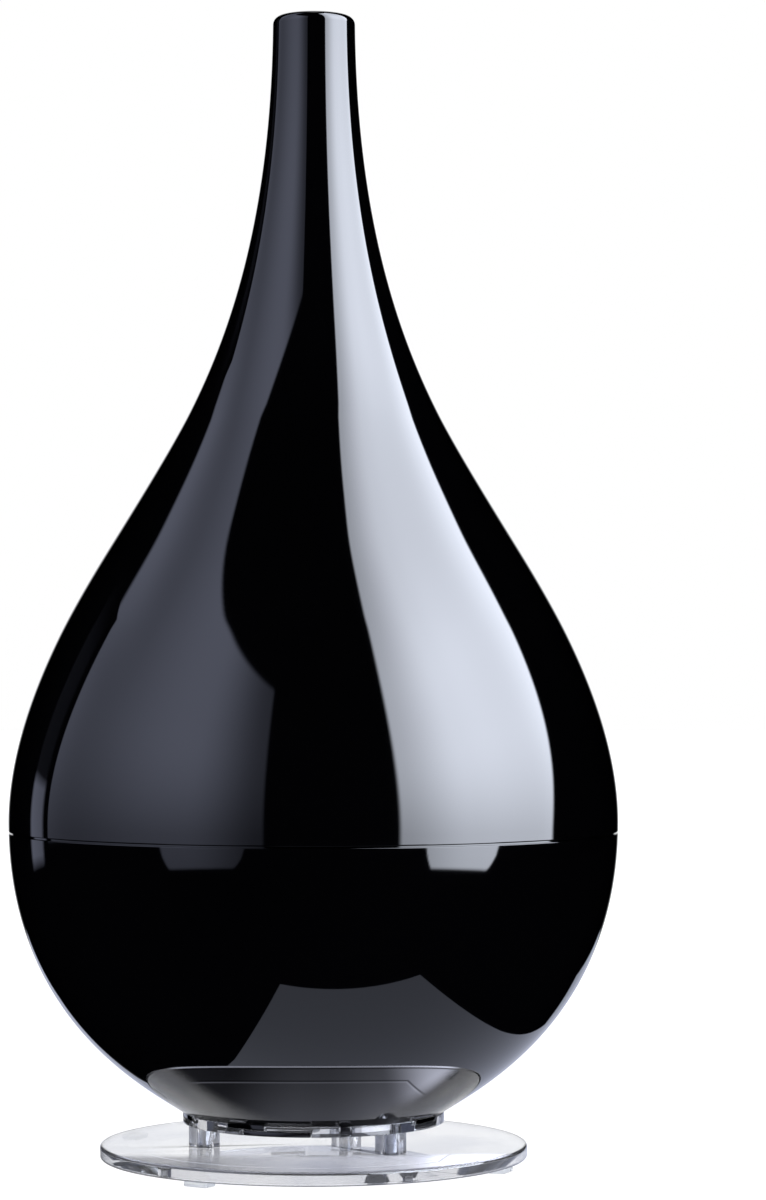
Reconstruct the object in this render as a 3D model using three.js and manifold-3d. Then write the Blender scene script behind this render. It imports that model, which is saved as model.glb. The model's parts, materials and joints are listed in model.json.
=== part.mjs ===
// Cool mist humidifier: a drop-shaped water tank that lifts off a bowl-shaped base, on a
// clear stand. Water runs from the tank through a spring valve into the basin, a piezo
// disc turns it to mist, and a fan drives the mist up the chimney to the drop's tip.
// Millimetres, +Z up, the front faces -Y, and the origin is on the table at the centre.
import * as THREE from "three";
import { mergeVertices } from "three/addons/utils/BufferGeometryUtils.js";
import Module from "manifold-3d";

const wasm = await Module();
wasm.setup();

// ---------------------------------------------------------------- driving dimensions

// The drop's outline: three curves that meet at its widest ring and on its shoulder.
const TOTAL_HEIGHT = 500;
const WIDEST_RADIUS = 132.7;
const WIDEST_HEIGHT = 148.3;
const FOOT_RADIUS = 56.9;
const SHOULDER_RADIUS = 81.8;
const SHOULDER_HEIGHT = 279;
const SHOULDER_SLOPE = 0.59;
const NECK_RADIUS = 18;
// How far each curve holds the direction of its ends, as [across, up] or along the height.
const FOOT_REACH = [14.2, 9.8];
const BELLY_BELOW = 86.4;
const BELLY_ABOVE = 56.7;
const SHOULDER_BELOW = 14;
const SHOULDER_ABOVE = 36.5;
const NECK_REACH = [1.4, 128.4];
const LIP_ROUNDING = 3.7;

// The two casings and the line between them.
const SEAM_HEIGHT = 143.5;
const SEAM_GAP = 0.8;
const BOWL_WALL = 2.8;
const SHELL_WALL = 2.6;

// Clearances.
const LAY = 0.2;
const FIT = 0.3;
const RUNNING = 0.12;
// How far a cutting shape runs past the piece that it cuts.
const PAST = 1;

// Clear stand.
const PAD_THICKNESS = 2.2;
const PAD_SIZE = [11.6, 8];
const PAD_CORNER = 1;
const PAD_RING = 87;
const PAD_AZIMUTHS = [-33, 66, 147, 246];
const DISC_RADIUS = 93;
const DISC_THICKNESS = 5.9;
const DISC_EDGE = 1.1;
const POST_RADIUS = 6.7;
const POST_HEIGHT = 9;
const POST_RING = 48.5;
const POST_AZIMUTHS = [-77.5, 42.5, 162.5];
const PLATE_THICKNESS = 4.4;
const STAND_SCREW_RADIUS = 2;
const STAND_SCREW_HEAD = 4;
const STAND_SCREW_GRIP = 10;
const STAND_SCREW_SOCKET = [1.6, 1.4];
const STAND_BOSS_RADIUS = 4.6;

// Lugs under the bowl, every 45 degrees, with the receiver's eye in the place of one.
const LUG_STEP = 45;
const LUG_FIRST = -76;
const LUG_SPAN = 18;
const LUG_DEPTH = 1.9;
const LUG_RADIAL = 4.2;
const EYE_AZIMUTH = 14;
const EYE_WIDTH = 4.6;
const EYE_HEIGHT = 3.2;
const STRIP_FROM = -32;
const STRIP_TO = -1;
const STRIP_HEIGHT = 1.9;
const STRIP_RADIAL = 4;

// Air intake and fan.
const BOWL_MOUTH = 30;
const COVER_THICKNESS = 2.5;
const COVER_SCREW_AZIMUTHS = [0, 120, 240];
const COVER_SCREW_RADIUS = 1.4;
const COVER_SCREW_HEAD = [2.6, 1.6];
const COVER_SCREW_GRIP = 6;
const COVER_BOSS_RADIUS = 3.4;
const COVER_BOSS_TO_FAN = 1.045;
const COVER_EDGE = 1.1;
const COVER_GAP = 0.5;
const GRILLE_SLOTS = 12;
const GRILLE_WIDTH = 3;
const GRILLE_INNER = 8;
const GRILLE_OUTER = 25;
const FILTER_THICKNESS = 2.6;
const FILTER_GAP = 0.5;
const FAN_SIZE = 50;
const FAN_CORNER = 3;
const FAN_DEPTH = 15;
const FAN_BORE = 23.5;
const FAN_HOLE_INSET = 4;
const FAN_HOLE_RADIUS = 1.6;
const FAN_HUB = 11;
const FAN_HUB_WALL = 1.7;
const FAN_HUB_PLATE = 1.6;
const FAN_BLADES = 7;
const BLADE_PITCH = 40;
const BLADE_CHORD = 12;
const BLADE_THICKNESS = 1.1;
const BLADE_GAP = 1.5;
const BLADE_ROOT = 0.8;
const SHAFT_RADIUS = 1.5;
const SLEEVE_RADIUS = 3.2;
const SLEEVE_RISE = 3;
const HUB_INSETS = [2, 2.4];
const SHAFT_DROP = 1.2;
const SHAFT_END_GAP = 0.5;
const CARRIER_RADIUS = 9;
const CARRIER_GAP = 0.6;
const CARRIER_TOP_GAP = 0.1;
const COIL_RADIUS = 8.8;
const COIL_GAP = 0.4;
const STRUT_ANGLES = [90, 210, 330];
const STRUT_SIZE = [3, 1.6];

// Air duct from the fan to the basin.
const DUCT_HEIGHT = 18;
const DUCT_WALL = 1.8;
const DUCT_RADIUS = 27;
const DUCT_TO_BOWL = 3.16;
const TOWER_BORE = 12;
const TOWER_TOP = 132;

// Water basin.
const BASIN_DROP = 2.5;
const BASIN_DEPTH = 40.6;
const BASIN_WALL = 2.4;
const BASIN_FLANGE = 13.5;
const BASIN_SLANT = 11.5;
const LEDGE_WIDTH = 6;
const LEDGE_HEIGHT = 6;
const WELL_RADIUS = 30;
const WELL_DEPTH = 10;
const WELL_EYE = 8.5;
const BASIN_SCREW_AZIMUTHS = [0, 120, 240];
const BASIN_SCREW_RADIUS = 1.3;
const BASIN_SCREW_HEAD = [2.6, 1.5];
const BASIN_SCREW_LENGTH = 7;
const BASIN_SCREW_HOLE = 5;
const VALVE_PIN_RADIUS = 3;

// Mist maker under the well.
const PIEZO_RADIUS = 10;
const PIEZO_THICKNESS = 1.2;
const PIEZO_DROP = 1.2;
const GASKET_RADIUS = 12.5;
const GASKET_HEIGHT = 3;
const BRACKET_RADIUS = 22;
const BRACKET_THICKNESS = 2.4;
const BRACKET_HOLE = 1.5;
const BRACKET_BOSS = 3.2;
const BRACKET_SCREW_RING = 18;
const BRACKET_SCREW_RADIUS = 1.2;
const BRACKET_SCREW_HEAD = [2.4, 1.4];
const BOSS_BORE_END = 0.6;

// Circuit boards.
const BOARD_THICKNESS = 1.6;
const BOARD_HEIGHT = 55;
const BOARD_WIDTH = 52;
const BOARD_TO_DUCT = 11;
const BOARD_TO_BOWL = 2;
const BOARD_POST_RADIUS = 3;
const BOARD_POST_INSETS = [6, 9, 7];
const SINK_SIZE = [22, 30, 14];
const SINK_FINS = 6;
const SINK_GAP_SHARE = 0.55;
const SINK_BASE = 3;
const SINK_PLACE = 8;
const CHOKE_RADII = [2.6, 7];
const CHOKE_HEIGHT = 8;
const CHOKE_PLACE = -17;
const CAPACITOR_RADIUS = 5;
const CAPACITOR_HEIGHT = 13;
const CAPACITOR_PLACE = -12;
const LEAD_RADIUS = 1.2;

// Rear panel with the inlet and the power button.
const PANEL_HEIGHT = 70;
const PANEL_SIZE = [44, 20];
const PANEL_CORNER = 6;
const PANEL_THICKNESS = 3;
const PANEL_RECESS = 0.6;
const PANEL_CUT = [-8, 20];
const PANEL_HALF_PITCH = 11;
const PANEL_POST_RADIUS = 2.4;
const JACK_RADIUS = 5;
const JACK_BORE = 3.2;
const JACK_DEPTH = 9;
const JACK_PIN = [1, 1.2];
const JACK_LENGTH = 13;
const JACK_STAND = 0.6;
const BUTTON_RADIUS = 5.2;
const BUTTON_TRAVEL = 1;
const BUTTON_STAND = 1.2;
const BUTTON_EDGE = 0.6;
const BUTTON_FLANGE = [1.4, 1.3];
const BUTTON_STEM = [2, 2.2];
const SWITCH_WIDTH = 6.4;
const SWITCH_KEY = [1.7, 1];
const SWITCH_BOARD_INSET = [2, 4];
const SWITCH_BOARD_CORNER = 2;
const BOARD_SCREW_RADIUS = 1.1;
const BOARD_SCREW_HEAD = [2.2, 1.3];
const BOARD_SCREW_HOLE = 1.4;
const BOARD_SCREW_END = -6;

// Float that senses the water level.
const FLOAT_TO_WALL = 9.93;
const FLOAT_AZIMUTH = 150;
const FLOAT_RADIUS = 12;
const FLOAT_HEIGHT = 14;
const FLOAT_POST = 3.4;
const FLOAT_BORE_GAP = 0.8;
const FLOAT_RISE = 10;
const FLOAT_POST_SPARE = 5;
const CLIP_WIDTH = 4;
const CLIP_HEIGHT = 2;
const CLIP_ABOVE = 1.5;

// Tank floor, filler neck, cap and valve.
const FLOOR_ABOVE_SEAM = 3.3;
const FLOOR_THICKNESS = 2.8;
const SEAL_WIDTH = 3.4;
const SEAL_HEIGHT = 2.2;
const CAP_TO_WALL = 7.43;
const CAP_AZIMUTH = -60;
const FILLER_BORE = 17;
const FILLER_WALL = 3;
const FILLER_LENGTH = 12.8;
const CAP_WALL = 3;
const CAP_PLATE = 2.6;
const CAP_BELOW_FLOOR = 1;
const CAP_RIBS = 8;
const CAP_RIB_SIZE = [2.4, 3];
const CAP_RIB_SHORT = 2;
const CAP_SEAL_GAP = 0.4;
const VALVE_HOLE = 6.5;
const VALVE_STEM = 3.5;
const VALVE_LIFT = 4;
const VALVE_DISC = 10;
const VALVE_DISC_THICKNESS = 2;
const VALVE_SEAL_THICKNESS = 1.6;
const VALVE_HEAD_THICKNESS = 2;
const VALVE_HEAD_EDGE = 1.5;
const SPRING_LENGTH = 9.6;
const SPRING_RADIUS = 7.8;
const SPRING_WIRE = 0.5;
const SPRING_TURNS = 4.5;

// Chimney and mist outlet.
const CHIMNEY_BORE = 9.8;
const CHIMNEY_WALL = 1.8;
const SOCKET_WALL = 2.6;
const SOCKET_ABOVE = 12;
const SOCKET_BELOW = 7;
const CHIMNEY_SEAL_HEIGHT = 2.4;
const NOZZLE_WALL = 1.2;
const NOZZLE_INSET = 0.2;
const NOZZLE_SINK = 0.4;
const NOZZLE_LENGTH = 15;
const NOZZLE_TOP = 7;
const COLLAR_DEPTH = 10;
const COLLAR_SLOPE = 2;

// Facets round a full circle on the casings, on middle-sized pieces and on small ones.
const ROUND = 36;
const MIDDLE = 20;
const SMALL = 12;
const TINY = 8;
const HEXAGON = 6;
const SKIN_STEPS = 8;
const LINING_STEPS = 4;
const RIM_STEPS = 2;
const LIP_ANGLES = [30, 60, 90];

// ---------------------------------------------------------------- levels that follow

const discBase = PAD_THICKNESS + LAY;
const discTop = discBase + DISC_THICKNESS;
const postBase = discTop + LAY;
const plateBase = postBase + POST_HEIGHT + LAY;
const plateTop = plateBase + PLATE_THICKNESS;
const bowlBase = plateTop + LAY;
const bowlFloor = bowlBase + BOWL_WALL;
const coverBase = plateTop - COVER_THICKNESS;
const coverBossReach = FAN_SIZE / 2 + COVER_BOSS_TO_FAN + COVER_BOSS_RADIUS;
const coverScrewRing = coverBossReach / Math.cos(Math.PI / 6);
const coverRadius = coverScrewRing + COVER_SCREW_HEAD[0] + COVER_EDGE;
const plateMouth = coverRadius + COVER_GAP;
const fanBase = bowlFloor + LAY;
const fanTop = fanBase + FAN_DEPTH;
const shaftTop = fanTop - SHAFT_DROP;
const ductBase = fanTop + FIT;
const ductTop = ductBase + DUCT_HEIGHT;
const basinTop = SEAM_HEIGHT - BASIN_DROP;
const basinFloor = basinTop - BASIN_DEPTH;
const basinUnder = basinFloor - BASIN_WALL;
const wellFloor = basinFloor - WELL_DEPTH;
const wellUnder = wellFloor - BASIN_WALL;
const gasketTop = wellUnder - LAY;
const gasketBase = gasketTop - GASKET_HEIGHT;
const bracketTop = gasketBase - LAY;
const bracketBase = bracketTop - BRACKET_THICKNESS;
const piezoTop = gasketTop - PIEZO_DROP;
const piezoLow = piezoTop - PIEZO_THICKNESS;
const shellBase = SEAM_HEIGHT + SEAM_GAP;
const floorUnder = SEAM_HEIGHT + FLOOR_ABOVE_SEAM;
const floorTop = floorUnder + FLOOR_THICKNESS;
const sealTop = floorTop + LAY + SEAL_HEIGHT;
const lipBase = TOTAL_HEIGHT - LIP_ROUNDING;
const chimneyRadius = CHIMNEY_BORE + CHIMNEY_WALL;
const socketBore = chimneyRadius + FIT;
const socketRadius = socketBore + SOCKET_WALL;
const fillerRadius = FILLER_BORE + FILLER_WALL;
const fillerEnd = floorUnder - FILLER_LENGTH;
const capBore = fillerRadius + FIT;
const capRadius = capBore + CAP_WALL;
const capPlateTop = fillerEnd - CAP_PLATE;
const capBase = capPlateTop - CAP_PLATE;
const springLow = capBase - LAY - SPRING_LENGTH;
const stemEnd = springLow - LAY - VALVE_HEAD_THICKNESS;
const floatTop = basinFloor + LAY + FLOAT_HEIGHT + FLOAT_RISE;

// ---------------------------------------------------------------- shape helpers

const radians = THREE.MathUtils.degToRad;
const degrees = THREE.MathUtils.radToDeg;

// A place at a distance from the axis. Azimuth 0 is the front, and it grows towards +X.
function around(distance, azimuth) {
  const angle = radians(azimuth);
  return [distance * Math.sin(angle), -distance * Math.cos(angle)];
}

// A solid of revolution about Z from [radius, height] points.
function turned(outline, sides = ROUND) {
  const points = outline.map(([radius, height]) => new THREE.Vector2(radius, height));
  if (THREE.ShapeUtils.area(points) < 0) points.reverse();
  const isRing = points.every((point) => point.x > 0);
  if (isRing) points.push(points[0].clone());
  return new THREE.LatheGeometry(points, sides).rotateX(Math.PI / 2);
}

function rod(radius, low, high, place = [0, 0], sides = SMALL) {
  const outline = [[0, low], [radius, low], [radius, high], [0, high]];
  return turned(outline, sides).translate(place[0], place[1], 0);
}

function ring(inner, outer, low, high, place = [0, 0], sides = SMALL) {
  const outline = [[inner, low], [outer, low], [outer, high], [inner, high]];
  return turned(outline, sides).translate(place[0], place[1], 0);
}

function slab(shape, low, high, curveSegments = 8) {
  const options = { depth: high - low, bevelEnabled: false, curveSegments };
  return new THREE.ExtrudeGeometry(shape, options).translate(0, 0, low);
}

function box(size, centre) {
  return new THREE.BoxGeometry(...size).translate(...centre);
}

// A slab between two radii that covers a span of azimuths.
function arcSlab(inner, outer, from, to, low, high) {
  const start = radians(from - 90);
  const end = radians(to - 90);
  const shape = new THREE.Shape();
  shape.absarc(0, 0, outer, start, end, false);
  shape.absarc(0, 0, inner, end, start, true);
  return slab(shape, low, high, 3);
}

function roundedRectangle(width, height, corner) {
  const right = width / 2 - corner;
  const top = height / 2 - corner;
  const quarter = Math.PI / 2;
  const shape = new THREE.Shape();
  shape.absarc(right, top, corner, 0, quarter, false);
  shape.absarc(-right, top, corner, quarter, 2 * quarter, false);
  shape.absarc(-right, -top, corner, 2 * quarter, 3 * quarter, false);
  shape.absarc(right, -top, corner, 3 * quarter, 4 * quarter, false);
  return shape;
}

// The outline round a large circle at the origin and a small one further along Y.
function keyhole(large, small, reach) {
  const lean = Math.asin((large - small) / reach);
  const shape = new THREE.Shape();
  shape.absarc(0, reach, small, lean, Math.PI - lean, false);
  shape.absarc(0, 0, large, Math.PI - lean, 2 * Math.PI + lean, false);
  return shape;
}

// A round wire or lead along a curve.
function wire(curve, radius, steps, sides = 8) {
  const section = new THREE.Shape();
  section.absarc(0, 0, radius, 0, 2 * Math.PI, false);
  const options = { steps, extrudePath: curve, curveSegments: sides / 2, bevelEnabled: false };
  return new THREE.ExtrudeGeometry(section, options);
}

// The same shape made again at each azimuth of a circle of screws or posts.
function atEach(azimuths, distance, make) {
  return azimuths.map((azimuth) => make(around(distance, azimuth)));
}

function solidOf(geometry) {
  const bare = geometry.index ? geometry.toNonIndexed() : geometry.clone();
  bare.deleteAttribute("normal");
  bare.deleteAttribute("uv");
  const merged = mergeVertices(bare, 1e-3);
  const vertProperties = merged.getAttribute("position").array;
  const triVerts = new Uint32Array(merged.index.array);
  return new wasm.Manifold(new wasm.Mesh({ numProp: 3, vertProperties, triVerts }));
}

function geometryOf(solid) {
  const mesh = solid.getMesh();
  const position = new THREE.BufferAttribute(mesh.vertProperties, 3);
  const geometry = new THREE.BufferGeometry().setAttribute("position", position);
  geometry.setIndex(new THREE.BufferAttribute(mesh.triVerts, 1));
  return geometry;
}

function join(first, ...others) {
  return geometryOf(others.reduce((whole, other) => whole.add(solidOf(other)), solidOf(first)));
}

function cut(first, ...tools) {
  return geometryOf(tools.reduce((rest, tool) => rest.subtract(solidOf(tool)), solidOf(first)));
}

function common(first, second) {
  return geometryOf(solidOf(first).intersect(solidOf(second)));
}

// ---------------------------------------------------------------- the drop's outline

function curveThrough(...points) {
  return new THREE.CubicBezierCurve(...points.map(([x, y]) => new THREE.Vector2(x, y)));
}

const bowlCurve = curveThrough(
  [FOOT_RADIUS, bowlBase],
  [FOOT_RADIUS + FOOT_REACH[0], bowlBase + FOOT_REACH[1]],
  [WIDEST_RADIUS, WIDEST_HEIGHT - BELLY_BELOW],
  [WIDEST_RADIUS, WIDEST_HEIGHT],
);
const shoulderCurve = curveThrough(
  [WIDEST_RADIUS, WIDEST_HEIGHT],
  [WIDEST_RADIUS, WIDEST_HEIGHT + BELLY_ABOVE],
  [SHOULDER_RADIUS + SHOULDER_SLOPE * SHOULDER_BELOW, SHOULDER_HEIGHT - SHOULDER_BELOW],
  [SHOULDER_RADIUS, SHOULDER_HEIGHT],
);
const neckCurve = curveThrough(
  [SHOULDER_RADIUS, SHOULDER_HEIGHT],
  [SHOULDER_RADIUS - SHOULDER_SLOPE * SHOULDER_ABOVE, SHOULDER_HEIGHT + SHOULDER_ABOVE],
  [NECK_RADIUS + NECK_REACH[0], lipBase - NECK_REACH[1]],
  [NECK_RADIUS, lipBase],
);
const dropCurves = [bowlCurve, shoulderCurve, neckCurve];

// A point of the drop's skin, or of a lining that lies inset inside it.
function skinPoint(curve, share, inset) {
  const point = curve.getPoint(share);
  const along = curve.getTangent(share);
  return [point.x - inset * along.y, point.y + inset * along.x];
}

function shareAtHeight(curve, height, inset) {
  let low = 0;
  let high = 1;
  while (high - low > 1e-7) {
    const middle = (low + high) / 2;
    if (skinPoint(curve, middle, inset)[1] < height) low = middle;
    else high = middle;
  }
  return (low + high) / 2;
}

// The skin from one height up to another.
function skin(from, to, inset, steps) {
  const points = [];
  for (const curve of dropCurves) {
    const start = shareAtHeight(curve, from, inset);
    const end = shareAtHeight(curve, to, inset);
    const count = Math.ceil(steps * (end - start) - 0.01);
    for (let i = points.length ? 1 : 0; i <= count && count > 0; i++) {
      points.push(skinPoint(curve, start + ((end - start) * i) / count, inset));
    }
  }
  return points;
}

function skinRadius(height, inset) {
  const curve = dropCurves.find((each) => skinPoint(each, 1, inset)[1] >= height) ?? neckCurve;
  return skinPoint(curve, shareAtHeight(curve, height, inset), inset)[0];
}

// ---------------------------------------------------------------- materials

function finish(color, roughness, metalness = 0, opacity = 1) {
  const look = { color, roughness, metalness, opacity, transparent: opacity < 1 };
  return new THREE.MeshStandardMaterial(look);
}

const glossBlack = () => finish(0x0c0c0f, 0.06);
const satinBlack = () => finish(0x17171a, 0.35);
const mattBlack = () => finish(0x141416, 0.7);
const clear = () => finish(0xe9f0f2, 0.03, 0, 0.35);
const smoke = () => finish(0x1b1b20, 0.1);
const greyPlastic = () => finish(0x6f7276, 0.45);
const whitePlastic = () => finish(0xd9dbdc, 0.4);
const rubber = () => finish(0x2a2a2c, 0.85);
const foam = () => finish(0x3a3b3d, 0.95);
const steel = () => finish(0xb9bcc0, 0.3, 1);
const aluminium = () => finish(0xc4c7ca, 0.4, 1);
const brass = () => finish(0xc8a45a, 0.35, 1);
const copper = () => finish(0xb4693a, 0.4, 1);
const board = () => finish(0x1f5a38, 0.5);

const humidifier = new THREE.Group();

function place(name, geometry, material, group = humidifier) {
  const mesh = new THREE.Mesh(geometry, material);
  mesh.name = name;
  group.add(mesh);
  return mesh;
}

// ---------------------------------------------------------------- what the outline decides

// Half of the board's width lies across, so its far edge meets the bowl at a chord.
const boardInner = DUCT_RADIUS + BOARD_TO_DUCT;
const boardReach = skinRadius(BOARD_HEIGHT, BOWL_WALL) - BOARD_TO_BOWL;
const boardOuter = Math.sqrt(boardReach ** 2 - (BOARD_WIDTH / 2) ** 2);
const boardTop = BOARD_HEIGHT + BOARD_THICKNESS;
const boardMiddle = (boardInner + boardOuter) / 2;

// The basin's rim stands on the bowl's ledge, and its wall slants in to its floor.
const ledgeTop = basinTop - BASIN_WALL - LAY;
const ledgeRadius = skinRadius(ledgeTop, BOWL_WALL);
const basinRim = skinRadius(basinTop - BASIN_WALL, BOWL_WALL) - FIT;
const basinMouth = basinRim - BASIN_FLANGE;
const basinInside = basinMouth - BASIN_WALL;
const basinFloorRadius = basinInside - BASIN_SLANT;
const basinScrewRing = basinRim + FIT - LEDGE_WIDTH / 2;

// The pieces that stand on the basin's floor keep their distance from its wall.
const floatPlace = around(basinFloorRadius - FLOAT_TO_WALL - FLOAT_RADIUS, FLOAT_AZIMUTH);
const capReach = capRadius + CAP_RIB_SIZE[0] / 2;
const capPlace = around(basinFloorRadius - CAP_TO_WALL - capReach, CAP_AZIMUTH);
const ductTube = TOWER_BORE + DUCT_WALL;
const ductReach = skinRadius(ductBase, BOWL_WALL) - DUCT_TO_BOWL - ductTube;

// Where the rear panel's face is, and how far its outward direction dips below level.
const panelShare = shareAtHeight(bowlCurve, PANEL_HEIGHT, 0);
const panelAlong = bowlCurve.getTangent(panelShare);
const panelDip = Math.atan2(panelAlong.x, panelAlong.y);
const panelSkin = skinPoint(bowlCurve, panelShare, 0)[0];
const panelChord = Math.sqrt(panelSkin ** 2 - (PANEL_SIZE[0] / 2) ** 2);
const panelSink = (panelSkin - panelChord) * Math.cos(panelDip) + PANEL_RECESS;
const panelPlace = skinPoint(bowlCurve, panelShare, panelSink);

function turnToPanel(object) {
  return object.rotateX(-(Math.PI / 2 + panelDip));
}

// ---------------------------------------------------------------- clear stand

// A screw on its head, from the head's flat at low to the stem's end at high.
function screw(radius, [headRadius, headHeight], low, high) {
  const headTop = low + headHeight;
  return turned([[0, low], [headRadius, low], [headRadius, headTop], [radius, headTop],
    [radius, high], [0, high]], TINY);
}

function makeFootPads() {
  PAD_AZIMUTHS.forEach((azimuth, index) => {
    const shape = roundedRectangle(...PAD_SIZE, PAD_CORNER);
    const pad = place(`foot_pad_${index + 1}`, slab(shape, 0, PAD_THICKNESS, 2), clear());
    pad.position.set(...around(PAD_RING, azimuth), 0);
    pad.rotation.z = radians(azimuth);
  });
}

function makeStandDisc() {
  const rim = DISC_RADIUS - DISC_EDGE;
  const disc = turned([[0, discBase], [rim, discBase], [DISC_RADIUS, discBase + DISC_EDGE],
    [DISC_RADIUS, discTop - DISC_EDGE], [rim, discTop], [0, discTop]]);
  const head = STAND_SCREW_HEAD + FIT;
  const hole = STAND_SCREW_RADIUS + FIT;
  const sinkTop = discBase + head - hole;
  const outline = [[0, discBase - PAST], [head, discBase - PAST], [head, discBase],
    [hole, sinkTop], [hole, discTop + PAST], [0, discTop + PAST]];
  const holes = atEach(POST_AZIMUTHS, POST_RING, ([x, y]) => turned(outline, TINY)
    .translate(x, y, 0));
  place("stand_disc", cut(disc, ...holes), clear());
}

function makeStandPosts() {
  const bore = STAND_SCREW_RADIUS + FIT;
  const post = ring(bore, POST_RADIUS, postBase, postBase + POST_HEIGHT, [0, 0], MIDDLE);
  atEach(POST_AZIMUTHS, POST_RING, (spot) => spot).forEach((spot, index) => {
    place(`stand_post_${index + 1}`, post, clear()).position.set(...spot, 0);
  });
}

function makeStandScrews() {
  const low = discBase + FIT;
  const coneTop = low + STAND_SCREW_HEAD - STAND_SCREW_RADIUS;
  const high = bowlFloor + STAND_SCREW_GRIP;
  const body = turned([[0, low], [STAND_SCREW_HEAD, low], [STAND_SCREW_RADIUS, coneTop],
    [STAND_SCREW_RADIUS, high], [0, high]], TINY);
  const [socketRadius, socketDepth] = STAND_SCREW_SOCKET;
  const socket = rod(socketRadius, low - PAST, low + socketDepth, [0, 0], HEXAGON);
  atEach(POST_AZIMUTHS, POST_RING, (spot) => spot).forEach((spot, index) => {
    const mesh = place(`stand_screw_${index + 1}`, cut(body, socket), steel());
    mesh.position.set(...spot, 0);
  });
}

function lugAzimuths() {
  const all = Array.from({ length: 360 / LUG_STEP }, (unused, i) => LUG_FIRST + i * LUG_STEP);
  return all.filter((azimuth) => Math.abs(azimuth - EYE_AZIMUTH) > LUG_SPAN);
}

function lugSlab(azimuth, clearance) {
  const half = LUG_SPAN / 2 + degrees(clearance / FOOT_RADIUS);
  const inner = FOOT_RADIUS - LUG_RADIAL - clearance;
  const outer = FOOT_RADIUS - LAY + 2 * clearance;
  return arcSlab(inner, outer, azimuth - half, azimuth + half,
    bowlBase - LUG_DEPTH - clearance, bowlBase + BOWL_WALL / 2);
}

function eyeBox(clearance) {
  const width = EYE_WIDTH + 2 * clearance;
  const length = LUG_RADIAL + 2 * clearance;
  const height = EYE_HEIGHT + 2 * clearance;
  const centre = [0, -(FOOT_RADIUS - LUG_RADIAL / 2), plateTop - EYE_HEIGHT / 2];
  return box([width, length, height], centre).rotateZ(radians(EYE_AZIMUTH));
}

function makeStandPlate() {
  const plate = ring(plateMouth, FOOT_RADIUS, plateBase, plateTop, [0, 0], ROUND);
  const holes = atEach(POST_AZIMUTHS, POST_RING, (spot) => rod(STAND_SCREW_RADIUS + FIT,
    plateBase - PAST, plateTop + PAST, spot));
  const pockets = lugAzimuths().map((azimuth) => lugSlab(azimuth, FIT));
  const strip = arcSlab(FOOT_RADIUS - STRIP_RADIAL - FIT, FOOT_RADIUS + PAST, STRIP_FROM,
    STRIP_TO, plateBase - PAST, plateBase + STRIP_HEIGHT + FIT);
  place("stand_plate", cut(plate, ...holes, ...pockets, strip, eyeBox(FIT)), clear());
}

function makeControlStrip() {
  const side = degrees(FIT / FOOT_RADIUS);
  const strip = arcSlab(FOOT_RADIUS - STRIP_RADIAL, FOOT_RADIUS - LAY, STRIP_FROM + side,
    STRIP_TO - side, plateBase, plateBase + STRIP_HEIGHT);
  place("control_strip", strip, smoke());
}

function makeReceiverEye() {
  place("ir_lens", eyeBox(0), smoke());
}

// ---------------------------------------------------------------- base casing

// The bowl's wall, with the ledge inside its rim that carries the basin.
function bowlShell() {
  const outer = skin(bowlBase, SEAM_HEIGHT, 0, SKIN_STEPS);
  const rim = skin(ledgeTop, SEAM_HEIGHT, BOWL_WALL, RIM_STEPS).reverse();
  const ledgeLow = ledgeTop - LEDGE_HEIGHT;
  const lining = skin(bowlFloor, ledgeLow - LEDGE_WIDTH, BOWL_WALL, LINING_STEPS).reverse();
  const ledge = [[ledgeRadius - LEDGE_WIDTH, ledgeTop], [ledgeRadius - LEDGE_WIDTH, ledgeLow]];
  return turned([[BOWL_MOUTH, bowlBase], ...outer, ...rim, ...ledge, ...lining,
    [BOWL_MOUTH, bowlFloor]]);
}

// Two rows of posts carry each board, and they stop at the bowl's skin.
function boardPosts() {
  const filled = turned([[0, bowlBase], ...skin(bowlBase, SEAM_HEIGHT, 0, SKIN_STEPS),
    [0, SEAM_HEIGHT]]);
  const [nearInset, farInset, sideInset] = BOARD_POST_INSETS;
  const across = BOARD_WIDTH / 2 - sideInset;
  const spots = [-1, 1].flatMap((side) => [boardInner + nearInset, boardOuter - farInset]
    .flatMap((out) => [[side * out, -across], [side * out, across]]));
  return spots.map((spot) => common(rod(BOARD_POST_RADIUS, bowlFloor - PAST,
    BOARD_HEIGHT - LAY, spot, TINY), filled));
}

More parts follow.
